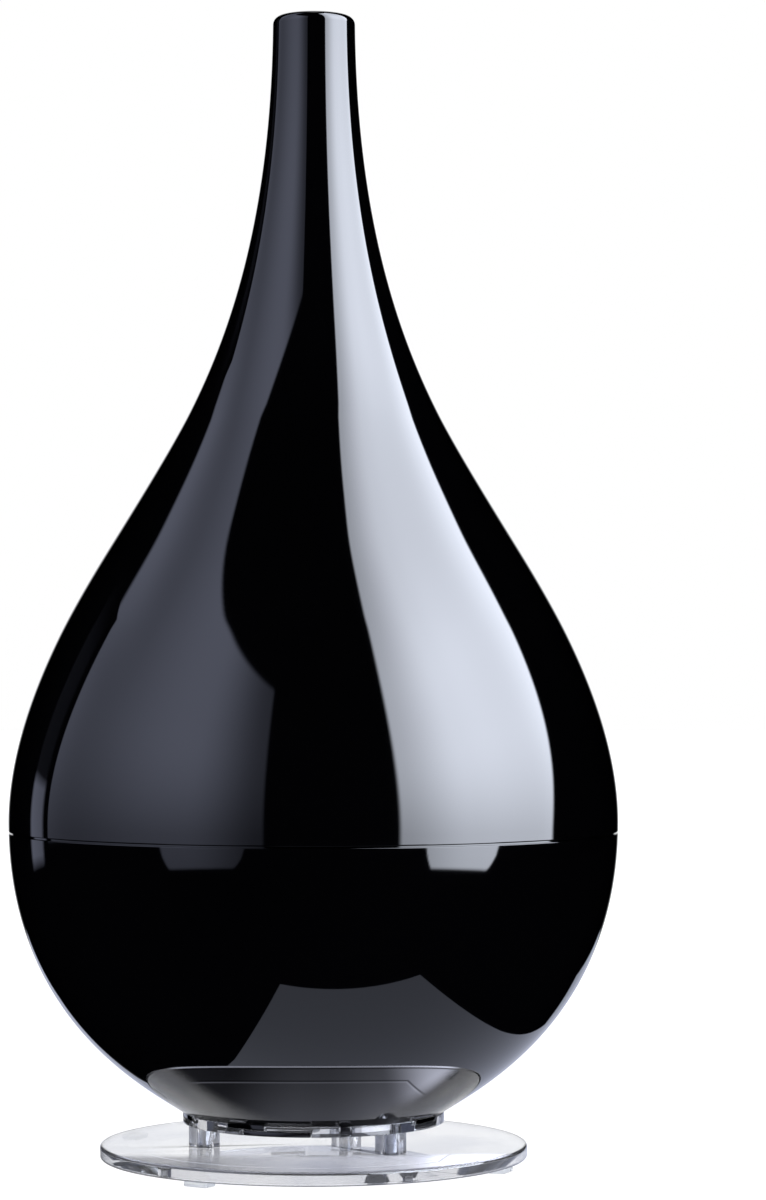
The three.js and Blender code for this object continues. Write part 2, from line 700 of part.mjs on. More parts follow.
function makeBowl() {
  const bossTop = bowlFloor + STAND_SCREW_GRIP + PAST;
  const coverBossTop = bowlFloor + COVER_SCREW_GRIP + PAST;
  const bosses = atEach(POST_AZIMUTHS, POST_RING, (spot) => rod(STAND_BOSS_RADIUS,
    bowlFloor - PAST, bossTop, spot, TINY));
  const coverBosses = atEach(COVER_SCREW_AZIMUTHS, coverScrewRing, (spot) => rod(
    COVER_BOSS_RADIUS, bowlFloor - PAST, coverBossTop, spot, TINY));
  const lugs = lugAzimuths().map((azimuth) => lugSlab(azimuth, 0));
  const bowl = join(bowlShell(), ...bosses, ...coverBosses, ...boardPosts(), ...lugs);

  const standHoles = atEach(POST_AZIMUTHS, POST_RING, (spot) => rod(
    STAND_SCREW_RADIUS + RUNNING, bowlBase - PAST, bossTop + PAST, spot, TINY));
  const coverHoles = atEach(COVER_SCREW_AZIMUTHS, coverScrewRing, (spot) => rod(
    COVER_SCREW_RADIUS + RUNNING, bowlBase - PAST, coverBossTop + PAST, spot, TINY));
  const basinHoles = atEach(BASIN_SCREW_AZIMUTHS, ledgeRadius - LEDGE_WIDTH / 2, (spot) => rod(
    BASIN_SCREW_RADIUS + RUNNING, ledgeTop - BASIN_SCREW_HOLE, ledgeTop + PAST, spot, TINY));
  const windowPlan = roundedRectangle(PANEL_SIZE[0] + 2 * FIT, PANEL_SIZE[1] + 2 * FIT,
    PANEL_CORNER + FIT);
  const window = turnToPanel(slab(windowPlan, ...PANEL_CUT, 3)).translate(0, ...panelPlace);
  const casing = cut(bowl, ...standHoles, ...coverHoles, ...basinHoles, window);
  place("base_bowl", casing, glossBlack());
}

function makeBottomCover() {
  const cover = rod(coverRadius, coverBase, plateTop, [0, 0], MIDDLE);
  const slotSize = [GRILLE_OUTER - GRILLE_INNER, GRILLE_WIDTH, 3 * COVER_THICKNESS];
  const slotPlace = [(GRILLE_OUTER + GRILLE_INNER) / 2, 0, coverBase];
  const slots = Array.from({ length: GRILLE_SLOTS }, (unused, i) => box(slotSize, slotPlace)
    .rotateZ(radians((360 / GRILLE_SLOTS) * (i + 0.5))));
  const holes = atEach(COVER_SCREW_AZIMUTHS, coverScrewRing, (spot) => rod(
    COVER_SCREW_RADIUS + RUNNING, coverBase - PAST, plateTop + PAST, spot, TINY));
  place("bottom_cover", cut(cover, ...slots, ...holes), mattBlack());
}

function makeCoverScrews() {
  const low = coverBase - COVER_SCREW_HEAD[1] - LAY;
  const shape = screw(COVER_SCREW_RADIUS, COVER_SCREW_HEAD, low, bowlFloor + COVER_SCREW_GRIP);
  atEach(COVER_SCREW_AZIMUTHS, coverScrewRing, (spot) => spot).forEach((spot, index) => {
    place(`cover_screw_${index + 1}`, shape, steel()).position.set(...spot, 0);
  });
}

function makeIntakeFilter() {
  const low = bowlBase + LAY;
  const pad = rod(BOWL_MOUTH - FILTER_GAP, low, low + FILTER_THICKNESS, [0, 0], MIDDLE);
  place("intake_filter", pad, foam());
}

// ---------------------------------------------------------------- fan and air duct

const hubLow = fanBase + HUB_INSETS[0];
const hubTop = fanTop - HUB_INSETS[1];
const strutLow = fanTop - CARRIER_TOP_GAP - STRUT_SIZE[1];
const carrierTop = fanTop - CARRIER_TOP_GAP;

function makeFanFrame() {
  const outline = roundedRectangle(FAN_SIZE, FAN_SIZE, FAN_CORNER);
  const tunnel = rod(FAN_BORE, fanBase - PAST, fanTop + PAST, [0, 0], MIDDLE);
  const frame = cut(slab(outline, fanBase, fanTop, 2), tunnel);
  const [strutWidth, strutHeight] = STRUT_SIZE;
  const reach = FAN_BORE + PAST;
  const struts = STRUT_ANGLES.map((angle) => box([reach, strutWidth, strutHeight],
    [reach / 2, 0, strutLow + strutHeight / 2]).rotateZ(radians(angle)));
  const carrier = rod(CARRIER_RADIUS, hubTop + CARRIER_GAP, carrierTop, [0, 0], MIDDLE);
  const sleeve = rod(SLEEVE_RADIUS, hubLow + SLEEVE_RISE, carrierTop);
  const bore = rod(SHAFT_RADIUS + RUNNING, fanBase, shaftTop + SHAFT_END_GAP);
  const corner = FAN_SIZE / 2 - FAN_HOLE_INSET;
  const corners = [[1, 1], [1, -1], [-1, 1], [-1, -1]];
  const holes = corners.map(([x, y]) => rod(FAN_HOLE_RADIUS, fanBase - PAST, fanTop + PAST,
    [x * corner, y * corner], TINY));
  place("fan_frame", cut(join(frame, ...struts, carrier, sleeve), bore, ...holes), mattBlack());
}

function makeFanCoil() {
  const coil = ring(SLEEVE_RADIUS + FIT, COIL_RADIUS, hubLow + SLEEVE_RISE, hubTop - COIL_GAP,
    [0, 0], MIDDLE);
  place("fan_coil", coil, copper());
}

function makeFanRotor() {
  const inside = FAN_HUB - FAN_HUB_WALL;
  const plateHigh = hubLow + FAN_HUB_PLATE;
  const cup = turned([[0, hubLow], [FAN_HUB, hubLow], [FAN_HUB, hubTop], [inside, hubTop],
    [inside, plateHigh], [SHAFT_RADIUS, plateHigh], [SHAFT_RADIUS, shaftTop], [0, shaftTop]],
  MIDDLE);
  const tip = FAN_BORE - BLADE_GAP;
  const length = tip - FAN_HUB + BLADE_ROOT;
  const middle = [tip - length / 2, 0, (hubLow + hubTop) / 2];
  const blades = Array.from({ length: FAN_BLADES }, (unused, i) => box(
    [length, BLADE_CHORD, BLADE_THICKNESS], [0, 0, 0]).rotateX(radians(BLADE_PITCH))
    .translate(...middle).rotateZ(radians((360 / FAN_BLADES) * i)));
  place("fan_rotor", join(cup, ...blades), greyPlastic());
}

function makeAirDuct() {
  const plenum = slab(keyhole(DUCT_RADIUS, ductTube, ductReach), ductBase, ductTop);
  const hollow = slab(keyhole(DUCT_RADIUS - DUCT_WALL, TOWER_BORE, ductReach),
    ductBase + DUCT_WALL, ductTop - DUCT_WALL);
  const end = basinUnder - FIT;
  const riser = rod(ductTube, ductTop - DUCT_WALL / 2, end, [0, ductReach], MIDDLE);
  const riserBore = rod(TOWER_BORE, ductTop - DUCT_WALL - PAST, end + PAST, [0, ductReach],
    MIDDLE);
  const mouth = rod(FAN_BORE, ductBase - PAST, ductBase + DUCT_WALL + PAST, [0, 0], MIDDLE);
  place("air_duct", cut(join(plenum, riser), hollow, riserBore, mouth), satinBlack());
}

// ---------------------------------------------------------------- basin and mist maker

// A stepped cup: the rim flange, the slanting wall, the floor and the mist well's floor.
function basinShell() {
  return turned([[WELL_EYE, wellUnder], [WELL_RADIUS, wellUnder],
    [WELL_RADIUS + BASIN_WALL, basinUnder], [basinMouth - BASIN_SLANT, basinUnder],
    [basinMouth, basinTop - BASIN_WALL], [basinRim, basinTop - BASIN_WALL],
    [basinRim, basinTop], [basinInside, basinTop], [basinFloorRadius, basinFloor],
    [WELL_RADIUS, basinFloor], [WELL_RADIUS - BASIN_WALL, wellFloor], [WELL_EYE, wellFloor]]);
}

function makeBasin() {
  const bracketSpots = [[-BRACKET_SCREW_RING, 0], [BRACKET_SCREW_RING, 0]];
  const tower = rod(TOWER_BORE + BASIN_WALL, basinUnder, TOWER_TOP, [0, ductReach], MIDDLE);
  const valvePin = rod(VALVE_PIN_RADIUS, basinFloor - PAST, stemEnd - FIT, capPlace);
  const floatPost = rod(FLOAT_POST, basinFloor - PAST, floatTop + FLOAT_POST_SPARE, floatPlace);
  const bosses = bracketSpots.map((spot) => rod(BRACKET_BOSS, bracketTop + LAY,
    wellUnder + PAST, spot, TINY));
  const basin = join(basinShell(), tower, valvePin, floatPost, ...bosses);

  const towerBore = rod(TOWER_BORE, basinUnder - PAST, TOWER_TOP + PAST, [0, ductReach], MIDDLE);
  const bossBores = bracketSpots.map((spot) => rod(BRACKET_SCREW_RADIUS + RUNNING,
    bracketTop - PAST, wellUnder + BOSS_BORE_END, spot, TINY));
  const screwHoles = atEach(BASIN_SCREW_AZIMUTHS, basinScrewRing, (spot) => rod(
    BASIN_SCREW_RADIUS + RUNNING, basinTop - BASIN_WALL - PAST, basinTop + PAST, spot, TINY));
  place("water_basin", cut(basin, towerBore, ...bossBores, ...screwHoles), satinBlack());
}

function makeBasinScrews() {
  const shape = screw(BASIN_SCREW_RADIUS, BASIN_SCREW_HEAD, 0, BASIN_SCREW_LENGTH);
  const top = basinTop + LAY + BASIN_SCREW_HEAD[1];
  atEach(BASIN_SCREW_AZIMUTHS, basinScrewRing, (spot) => spot).forEach((spot, index) => {
    const mesh = place(`basin_screw_${index + 1}`, shape, steel());
    mesh.position.set(...spot, top);
    mesh.rotation.x = Math.PI;
  });
}

function makeMistMaker() {
  const piezo = rod(PIEZO_RADIUS, piezoLow, piezoTop, [0, 0], MIDDLE);
  place("transducer", piezo, brass());
  const seat = PIEZO_RADIUS + LAY;
  const gasket = turned([[WELL_EYE, piezoTop + LAY], [WELL_EYE, gasketTop],
    [GASKET_RADIUS, gasketTop], [GASKET_RADIUS, gasketBase], [seat, gasketBase],
    [seat, piezoTop + LAY]], MIDDLE);
  place("transducer_gasket", gasket, rubber());
}

function makeBracket() {
  const plate = ring(WELL_EYE, BRACKET_RADIUS, bracketBase, bracketTop, [0, 0], MIDDLE);
  const spots = [[-BRACKET_SCREW_RING, 0], [BRACKET_SCREW_RING, 0]];
  const holes = spots.map((spot) => rod(BRACKET_HOLE, bracketBase - PAST, bracketTop + PAST,
    spot, TINY));
  place("transducer_bracket", cut(plate, ...holes), aluminium());
  const low = bracketBase - LAY - BRACKET_SCREW_HEAD[1];
  const shape = screw(BRACKET_SCREW_RADIUS, BRACKET_SCREW_HEAD, low, wellUnder);
  spots.forEach((spot, index) => {
    place(`bracket_screw_${index + 1}`, shape, steel()).position.set(...spot, 0);
  });
}

function makeFloat() {
  const low = basinFloor + LAY;
  const body = ring(FLOAT_POST + FLOAT_BORE_GAP, FLOAT_RADIUS, low, low + FLOAT_HEIGHT, [0, 0],
    MIDDLE);
  place("level_float", body, whitePlastic()).position.set(...floatPlace, 0);
  const clipLow = floatTop + CLIP_ABOVE;
  const clip = ring(FLOAT_POST + LAY, FLOAT_POST + CLIP_WIDTH, clipLow, clipLow + CLIP_HEIGHT);
  place("float_clip", clip, greyPlastic()).position.set(...floatPlace, 0);
}

// ---------------------------------------------------------------- electronics

function makeBoards() {
  const size = [boardOuter - boardInner, BOARD_WIDTH, BOARD_THICKNESS];
  const height = BOARD_HEIGHT + BOARD_THICKNESS / 2;
  place("driver_board", box(size, [-boardMiddle, 0, height]), board());
  place("control_board", box(size, [boardMiddle, 0, height]), board());
}

function makeHeatSink() {
  const [length, width, height] = SINK_SIZE;
  const block = box([length, width, height], [0, 0, height / 2]);
  const pitch = width / SINK_FINS;
  const gapSize = [length + 2 * PAST, pitch * SINK_GAP_SHARE, height];
  const gaps = Array.from({ length: SINK_FINS - 1 }, (unused, i) => box(gapSize,
    [0, (i + 1) * pitch - width / 2, height / 2 + SINK_BASE]));
  const sink = place("heat_sink", cut(block, ...gaps), aluminium());
  sink.position.set(-boardMiddle, SINK_PLACE, boardTop + LAY);
}

function makeBoardPieces() {
  const low = boardTop + LAY;
  const choke = ring(...CHOKE_RADII, low, low + CHOKE_HEIGHT, [-boardMiddle, CHOKE_PLACE]);
  place("choke_coil", choke, copper());
  const can = rod(CAPACITOR_RADIUS, low, low + CAPACITOR_HEIGHT,
    [boardMiddle, CAPACITOR_PLACE]);
  place("reservoir_capacitor", can, satinBlack());
}

function leadThrough(name, points) {
  const curve = new THREE.CatmullRomCurve3(points.map((point) => new THREE.Vector3(...point)));
  place(name, wire(curve, LEAD_RADIUS, 14), satinBlack());
}

// Each lead leaves its piece, hangs in the free room, and lies down on its board.
function makeLeads() {
  const lying = boardTop + 2 * LAY + LEAD_RADIUS;
  leadThrough("transducer_lead", [[0, 4, piezoLow - FIT], [0, 4, bracketBase - 3],
    [-10, 8, bracketBase - 14.2], [-boardInner + 2, 22, lying + 3],
    [-boardInner - 6, 23, lying]]);
  leadThrough("fan_lead", [[FAN_SIZE / 2 + FIT + LEAD_RADIUS + 0.1, -4, fanBase + 6],
    [boardInner - 6, -6, fanTop], [boardInner - 5, -10, BOARD_HEIGHT - 3],
    [boardInner - 2, -12, lying + 3], [boardInner + 6, -12, lying]]);
  const level = PANEL_HEIGHT + 14;
  leadThrough("inlet_lead", [[14, panelSkin - 25, level], [24, panelSkin - 34, level - 2],
    [boardInner + 6, 48, level - 10], [boardInner + 14, 30, lying + 6],
    [boardInner + 16, 20, lying]]);
}

// ---------------------------------------------------------------- rear panel

const jackSpot = [PANEL_HALF_PITCH, 0];
const buttonSpot = [-PANEL_HALF_PITCH, 0];
const flangeRadius = BUTTON_RADIUS + BUTTON_FLANGE[0];
const flangeTop = -PANEL_THICKNESS - FIT;
const flangeLow = flangeTop - BUTTON_FLANGE[1];
const stemLow = flangeLow - BUTTON_STEM[1];
const switchTop = stemLow - BUTTON_TRAVEL - LAY;
const switchBoardFront = -JACK_LENGTH - LAY;
const switchBoardBack = switchBoardFront - BOARD_THICKNESS;
const panelPostSpot = [(flangeRadius - JACK_RADIUS) / 2, 0];

function makePanelPlate(group) {
  const plate = slab(roundedRectangle(...PANEL_SIZE, PANEL_CORNER), -PANEL_THICKNESS, 0, 3);
  const post = rod(PANEL_POST_RADIUS, switchBoardFront + LAY, -PANEL_THICKNESS / 2,
    panelPostSpot);
  const low = -PANEL_THICKNESS - PAST;
  const jackHole = rod(JACK_RADIUS + FIT, low, PAST, jackSpot, MIDDLE);
  const buttonHole = rod(BUTTON_RADIUS + FIT, low, PAST, buttonSpot, MIDDLE);
  const postBore = rod(BOARD_SCREW_RADIUS + RUNNING, switchBoardFront - PAST,
    BOARD_SCREW_END + PAST, panelPostSpot, TINY);
  const panel = cut(join(plate, post), jackHole, buttonHole, postBore);
  place("rear_panel", panel, satinBlack(), group);
}

function makeJack(group) {
  const [pinRadius, pinDrop] = JACK_PIN;
  const jack = turned([[0, -JACK_LENGTH], [JACK_RADIUS, -JACK_LENGTH],
    [JACK_RADIUS, JACK_STAND], [JACK_BORE, JACK_STAND], [JACK_BORE, -JACK_DEPTH],
    [pinRadius, -JACK_DEPTH], [pinRadius, -pinDrop], [0, -pinDrop]], MIDDLE);
  place("dc_jack", jack, mattBlack(), group).position.set(...jackSpot, 0);
}

function makeButton(group) {
  const stem = BUTTON_STEM[0];
  const button = turned([[0, stemLow], [stem, stemLow], [stem, flangeLow],
    [flangeRadius, flangeLow], [flangeRadius, flangeTop], [BUTTON_RADIUS, flangeTop],
    [BUTTON_RADIUS, BUTTON_STAND - BUTTON_EDGE], [BUTTON_RADIUS - BUTTON_EDGE, BUTTON_STAND],
    [0, BUTTON_STAND]], MIDDLE);
  place("power_button", button, satinBlack(), group).position.set(...buttonSpot, 0);
}

function makeSwitch(group) {
  const [keyRadius, keyHeight] = SWITCH_KEY;
  const bodyTop = switchTop - keyHeight;
  const bodyLow = switchBoardFront + LAY;
  const body = box([SWITCH_WIDTH, SWITCH_WIDTH, bodyTop - bodyLow],
    [...buttonSpot, (bodyTop + bodyLow) / 2]);
  const key = rod(keyRadius, bodyTop - PAST, switchTop, buttonSpot);
  place("power_switch", join(body, key), mattBlack(), group);

  const [insetWidth, insetHeight] = SWITCH_BOARD_INSET;
  const plan = roundedRectangle(PANEL_SIZE[0] - insetWidth, PANEL_SIZE[1] - insetHeight,
    SWITCH_BOARD_CORNER);
  const hole = rod(BOARD_SCREW_HOLE, switchBoardBack - PAST, switchBoardFront + PAST,
    panelPostSpot, TINY);
  const card = cut(slab(plan, switchBoardBack, switchBoardFront, 2), hole);
  place("switch_board", card, board(), group);
  const low = switchBoardBack - LAY - BOARD_SCREW_HEAD[1];
  const shape = screw(BOARD_SCREW_RADIUS, BOARD_SCREW_HEAD, low, BOARD_SCREW_END);
  place("board_screw", shape, steel(), group).position.set(...panelPostSpot, 0);
}

// The panel and what it carries are drawn flat and turned together into the bowl's back.
function makeRearPanel() {
  const group = new THREE.Group();
  humidifier.add(group);
  turnToPanel(group).position.set(0, ...panelPlace);
  makePanelPlate(group);
  makeJack(group);
  makeButton(group);
  makeSwitch(group);
}

// ---------------------------------------------------------------- water tank

const nozzleBore = chimneyRadius + FIT;
const nozzleRadius = nozzleBore + NOZZLE_WALL;
const tipBore = nozzleRadius + FIT;
const nozzleEnd = TOTAL_HEIGHT - NOZZLE_SINK;
const nozzleStep = nozzleEnd - NOZZLE_TOP;
const chimneyEnd = nozzleStep - FIT;
const socketLow = floorUnder - SOCKET_BELOW;
const socketTop = floorTop + SOCKET_ABOVE;

function makeTankShell() {
  const outer = skin(shellBase, lipBase, 0, SKIN_STEPS);
  const lip = LIP_ANGLES.map((angle) => [
    NECK_RADIUS - LIP_ROUNDING * (1 - Math.cos(radians(angle))),
    lipBase + LIP_ROUNDING * Math.sin(radians(angle)),
  ]);
  const collarEnd = TOTAL_HEIGHT - COLLAR_DEPTH;
  const seat = skin(shellBase, sealTop, SHELL_WALL, LINING_STEPS).reverse();
  const lining = skin(sealTop, collarEnd - COLLAR_SLOPE, SHELL_WALL, LINING_STEPS).reverse();
  const shell = turned([...outer, ...lip, [tipBore, TOTAL_HEIGHT], [tipBore, collarEnd],
    ...lining.slice(0, -1), ...seat]);
  place("tank_shell", shell, glossBlack());
}

function makeTankFloor() {
  const rim = skinRadius(floorTop, SHELL_WALL) - FIT;
  const plate = turned([[socketBore, socketLow], [socketRadius, socketLow],
    [socketRadius, floorUnder], [rim, floorUnder], [rim, floorTop], [socketRadius, floorTop],
    [socketRadius, socketTop], [socketBore, socketTop]]);
  const filler = rod(fillerRadius, fillerEnd, floorUnder + PAST, capPlace, MIDDLE);
  const bore = rod(FILLER_BORE, fillerEnd - PAST, floorTop + PAST, capPlace, MIDDLE);
  place("tank_floor", cut(join(plate, filler), bore), satinBlack());
  const sealRadius = skinRadius(sealTop, SHELL_WALL) - FIT;
  const seal = ring(sealRadius - SEAL_WIDTH, sealRadius, floorTop + LAY, sealTop, [0, 0], ROUND);
  place("tank_seal", seal, rubber());
}

function makeChimney() {
  const tube = ring(CHIMNEY_BORE, chimneyRadius, socketLow, chimneyEnd, [0, 0], MIDDLE);
  place("mist_chimney", tube, satinBlack());
  const sealLow = socketTop + LAY;
  const seal = ring(chimneyRadius + LAY, socketRadius, sealLow, sealLow + CHIMNEY_SEAL_HEIGHT,
    [0, 0], MIDDLE);
  place("chimney_seal", seal, rubber());
}

function makeNozzle() {
  const bore = CHIMNEY_BORE - NOZZLE_INSET;
  const low = nozzleEnd - NOZZLE_LENGTH;
  const nozzle = turned([[bore, nozzleStep], [nozzleBore, nozzleStep], [nozzleBore, low],
    [nozzleRadius, low], [nozzleRadius, nozzleEnd], [bore, nozzleEnd]], MIDDLE);
  place("mist_nozzle", nozzle, satinBlack());
}

function makeCap() {
  const top = floorUnder - CAP_BELOW_FLOOR;
  const cup = turned([[VALVE_HOLE, capBase], [capRadius, capBase], [capRadius, top],
    [capBore, top], [capBore, capPlateTop], [VALVE_HOLE, capPlateTop]], MIDDLE);
  const ribSize = [...CAP_RIB_SIZE, top - capBase - CAP_RIB_SHORT];
  const ribs = Array.from({ length: CAP_RIBS }, (unused, i) => box(ribSize,
    [capRadius, 0, (top + capBase) / 2]).rotateZ(radians((360 / CAP_RIBS) * i)));
  place("tank_cap", join(cup, ...ribs), greyPlastic()).position.set(...capPlace, 0);
  const seal = ring(FILLER_BORE + CAP_SEAL_GAP, fillerRadius, capPlateTop + LAY,
    fillerEnd - LAY, [0, 0], MIDDLE);
  place("cap_seal", seal, rubber()).position.set(...capPlace, 0);
}

class Helix extends THREE.Curve {
  getPoint(share) {
    const angle = 2 * Math.PI * SPRING_TURNS * share;
    const height = springLow + SPRING_WIRE + share * (SPRING_LENGTH - 2 * SPRING_WIRE);
    return new THREE.Vector3(SPRING_RADIUS * Math.cos(angle), SPRING_RADIUS * Math.sin(angle),
      height);
  }
}

// The valve is shown held open by the basin's pin, so it stands one lift above its seat.
function makeValve() {
  const sealLow = capPlateTop + LAY + VALVE_LIFT;
  const sealHigh = sealLow + VALVE_SEAL_THICKNESS;
  const discLow = sealHigh + LAY;
  const discHigh = discLow + VALVE_DISC_THICKNESS;
  const headTop = stemEnd + VALVE_HEAD_THICKNESS;
  const headRadius = SPRING_RADIUS + VALVE_HEAD_EDGE;
  const plunger = turned([[0, stemEnd], [headRadius, stemEnd], [headRadius, headTop],
    [VALVE_STEM, headTop], [VALVE_STEM, discLow], [VALVE_DISC, discLow],
    [VALVE_DISC, discHigh], [0, discHigh]], MIDDLE);
  place("valve_plunger", plunger, whitePlastic()).position.set(...capPlace, 0);
  const seal = ring(VALVE_STEM + LAY, VALVE_DISC, sealLow, sealHigh, [0, 0], MIDDLE);
  place("valve_seal", seal, rubber()).position.set(...capPlace, 0);
  const coil = wire(new Helix(), SPRING_WIRE, Math.round(SPRING_TURNS * 10), 6);
  place("valve_spring", coil, steel()).position.set(...capPlace, 0);
}

makeFootPads();
makeStandDisc();
makeStandPosts();
makeStandScrews();
makeStandPlate();
makeControlStrip();
makeReceiverEye();
makeBowl();
makeBottomCover();
makeCoverScrews();
makeIntakeFilter();
makeFanFrame();
makeFanCoil();
makeFanRotor();
makeAirDuct();
makeBasin();
makeBasinScrews();
makeMistMaker();
makeBracket();
makeFloat();
makeBoards();
makeHeatSink();
makeBoardPieces();
makeLeads();
makeRearPanel();
makeTankShell();
makeTankFloor();
makeChimney();
makeNozzle();
makeCap();
makeValve();

export default humidifier;
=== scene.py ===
# %% [markdown]
# # A cool mist humidifier
#
# The object is a drop: a glossy black water tank that lifts off a bowl, on a clear stand.
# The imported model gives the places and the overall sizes, so the first cell loads it. Each
# later piece takes its place from that model, in metres, with +Z up and the front towards -Y.

# %% Load the frame
import bisect
import bpy
import bmesh
import json
import math
from mathutils import Matrix, Vector


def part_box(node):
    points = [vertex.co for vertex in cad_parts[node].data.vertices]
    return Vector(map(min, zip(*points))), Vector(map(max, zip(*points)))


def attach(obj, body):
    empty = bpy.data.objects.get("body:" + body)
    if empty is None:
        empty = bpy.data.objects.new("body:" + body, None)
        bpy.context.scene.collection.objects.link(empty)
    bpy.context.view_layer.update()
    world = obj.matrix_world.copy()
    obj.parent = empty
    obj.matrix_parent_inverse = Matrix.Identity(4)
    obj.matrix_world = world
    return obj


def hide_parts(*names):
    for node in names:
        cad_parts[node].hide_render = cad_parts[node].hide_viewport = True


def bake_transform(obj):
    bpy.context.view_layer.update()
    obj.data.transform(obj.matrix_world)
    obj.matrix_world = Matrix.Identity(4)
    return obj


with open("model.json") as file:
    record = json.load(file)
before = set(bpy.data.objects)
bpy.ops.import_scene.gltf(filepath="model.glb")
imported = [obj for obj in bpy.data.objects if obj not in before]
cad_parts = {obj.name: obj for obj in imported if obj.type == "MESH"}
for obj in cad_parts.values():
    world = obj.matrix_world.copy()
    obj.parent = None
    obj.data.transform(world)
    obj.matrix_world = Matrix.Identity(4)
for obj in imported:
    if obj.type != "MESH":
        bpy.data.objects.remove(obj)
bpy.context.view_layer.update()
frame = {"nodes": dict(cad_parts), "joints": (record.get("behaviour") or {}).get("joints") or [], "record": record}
MM = 0.001
joints = {joint["name"]: joint for joint in frame["joints"]}
print("nodes:", len(frame["nodes"]), "joints:", sorted(joints))

# %% [markdown]
# The camera stands a little below the middle of the drop and looks very slightly up. A long
# lens keeps the drop's sides nearly parallel. It turns to the right, so that the drop stands
# left of the middle of the picture.

# %% Camera
CAMERA_DISTANCE = 1.573
CAMERA_HEIGHT = 0.224
CAMERA_LENS = 108
CAMERA_TURN = math.radians(1.1)
CAMERA_TILT = math.radians(0.75)

camera_data = bpy.data.cameras.new("camera")
camera_data.lens = CAMERA_LENS
camera_data.sensor_width = 36
camera = bpy.data.objects.new("camera", camera_data)
camera.location = (0, -CAMERA_DISTANCE, CAMERA_HEIGHT)
camera.rotation_euler = (math.pi / 2 + CAMERA_TILT, 0, -CAMERA_TURN)
bpy.context.scene.collection.objects.link(camera)
bpy.context.scene.camera = camera
bpy.context.scene.view_settings.view_transform = "Standard"
print("camera at", tuple(camera.location))

# %% [markdown]
# Glossy black shows nothing of its own: what is seen on it is the room. So the light has two
# parts. An even white world lights the floor and fills the clear stand, and is kept out of
# reflections. Then cards stand far off and show only in reflections, as black cloth and
# softboxes do in a studio: a dull card on the left, a bright one on the right.

# %% World and floor
def link(thing):
    """Puts an object into the scene."""
    bpy.context.scene.collection.objects.link(thing)
    return thing


def plain_emission(name, colour, strength):
    """A stage material that only shines."""
    material = bpy.data.materials.new(name)
    material.use_nodes = True
    tree = material.node_tree
    tree.nodes.clear()
    shine = tree.nodes.new("ShaderNodeEmission")
    shine.inputs["Color"].default_value = (*colour, 1)
    shine.inputs["Strength"].default_value = strength
    output = tree.nodes.new("ShaderNodeOutputMaterial")
    tree.links.new(shine.outputs[0], output.inputs[0])
    return material


world = bpy.data.worlds.new("studio")
world.use_nodes = True
world.node_tree.nodes["Background"].inputs["Color"].default_value = (1, 1, 1, 1)
world.node_tree.nodes["Background"].inputs["Strength"].default_value = 1.0
world.cycles_visibility.glossy = False
bpy.context.scene.world = world

FLOOR_HALF = 8.0
floor_mesh = bpy.data.meshes.new("floor")
floor_mesh.from_pydata(
    [(x * FLOOR_HALF, y * FLOOR_HALF, 0) for x, y in ((-1, -1), (1, -1), (1, 1), (-1, 1))],
    [], [(0, 1, 2, 3)])
floor = link(bpy.data.objects.new("floor", floor_mesh))
floor_material = bpy.data.materials.new("pale_floor")
floor_material.use_nodes = True
floor_shader = floor_material.node_tree.nodes["Principled BSDF"]
floor_shader.inputs["Base Color"].default_value = (0.22, 0.22, 0.22, 1)
floor_shader.inputs["Roughness"].default_value = 0.9
floor_shader.inputs["Emission Color"].default_value = (1, 1, 1, 1)
floor_shader.inputs["Emission Strength"].default_value = 1.0
floor_mesh.materials.append(floor_material)
floor.visible_glossy = False
print("floor", floor.dimensions)

# %% [markdown]
# A card is a piece of a large ball round the drop. Every point of it is a direction: degrees
# round from the front, growing to the right, and degrees up. A small function says how
# brightly the card shines in each direction, so its lamp's bright middle and its soft edges
# are a few numbers. The glow is kept in the card's own mesh, one value for each point.

# %% Reflection cards
CARD_DISTANCE = 6.0
CARD_CENTRE = Vector((0, 0, 0.2))


def fade(value, start, end):
    """0 at start and 1 at end, with a smooth slope between them."""
    share = min(1.0, max(0.0, (value - start) / (end - start)))
    return share * share * (3 - 2 * share)


def towards(turn, rise):
    """The direction at an angle round from the front and an angle up, in degrees."""
    turn, rise = math.radians(turn), math.radians(rise)
    return Vector((math.sin(turn) * math.cos(rise), -math.cos(turn) * math.cos(rise),
                   math.sin(rise)))


def only_seen_in(card, **rays):
    """Hides a card from every kind of ray but the ones named."""
    for kind in ("camera", "diffuse", "glossy", "transmission", "volume_scatter", "shadow"):
        setattr(card, "visible_" + kind, rays.get(kind, False))
    return card


def glowing(name, colour):
    """Stage material whose brightness is read from the mesh."""
    material = plain_emission(name, colour, 1.0)
    material.cycles.emission_sampling = "NONE"
    tree = material.node_tree
    glow = tree.nodes.new("ShaderNodeAttribute")
    glow.attribute_name = "glow"
    shine = next(node for node in tree.nodes if node.type == "EMISSION")
    tree.links.new(glow.outputs["Fac"], shine.inputs["Strength"])
    return material


def sheet_of(name, rows, columns, points, **values):
    """A mesh of quads through rows of points, with named values kept at each point."""
    wide = columns + 1
    faces = [(j * wide + i, j * wide + i + 1, (j + 1) * wide + i + 1, (j + 1) * wide + i)
             for j in range(rows) for i in range(columns)]
    mesh = bpy.data.meshes.new(name)
    mesh.from_pydata(points, [], faces)
    for label, numbers in values.items():
        mesh.attributes.new(label, "FLOAT", "POINT").data.foreach_set("value", numbers)
    return mesh


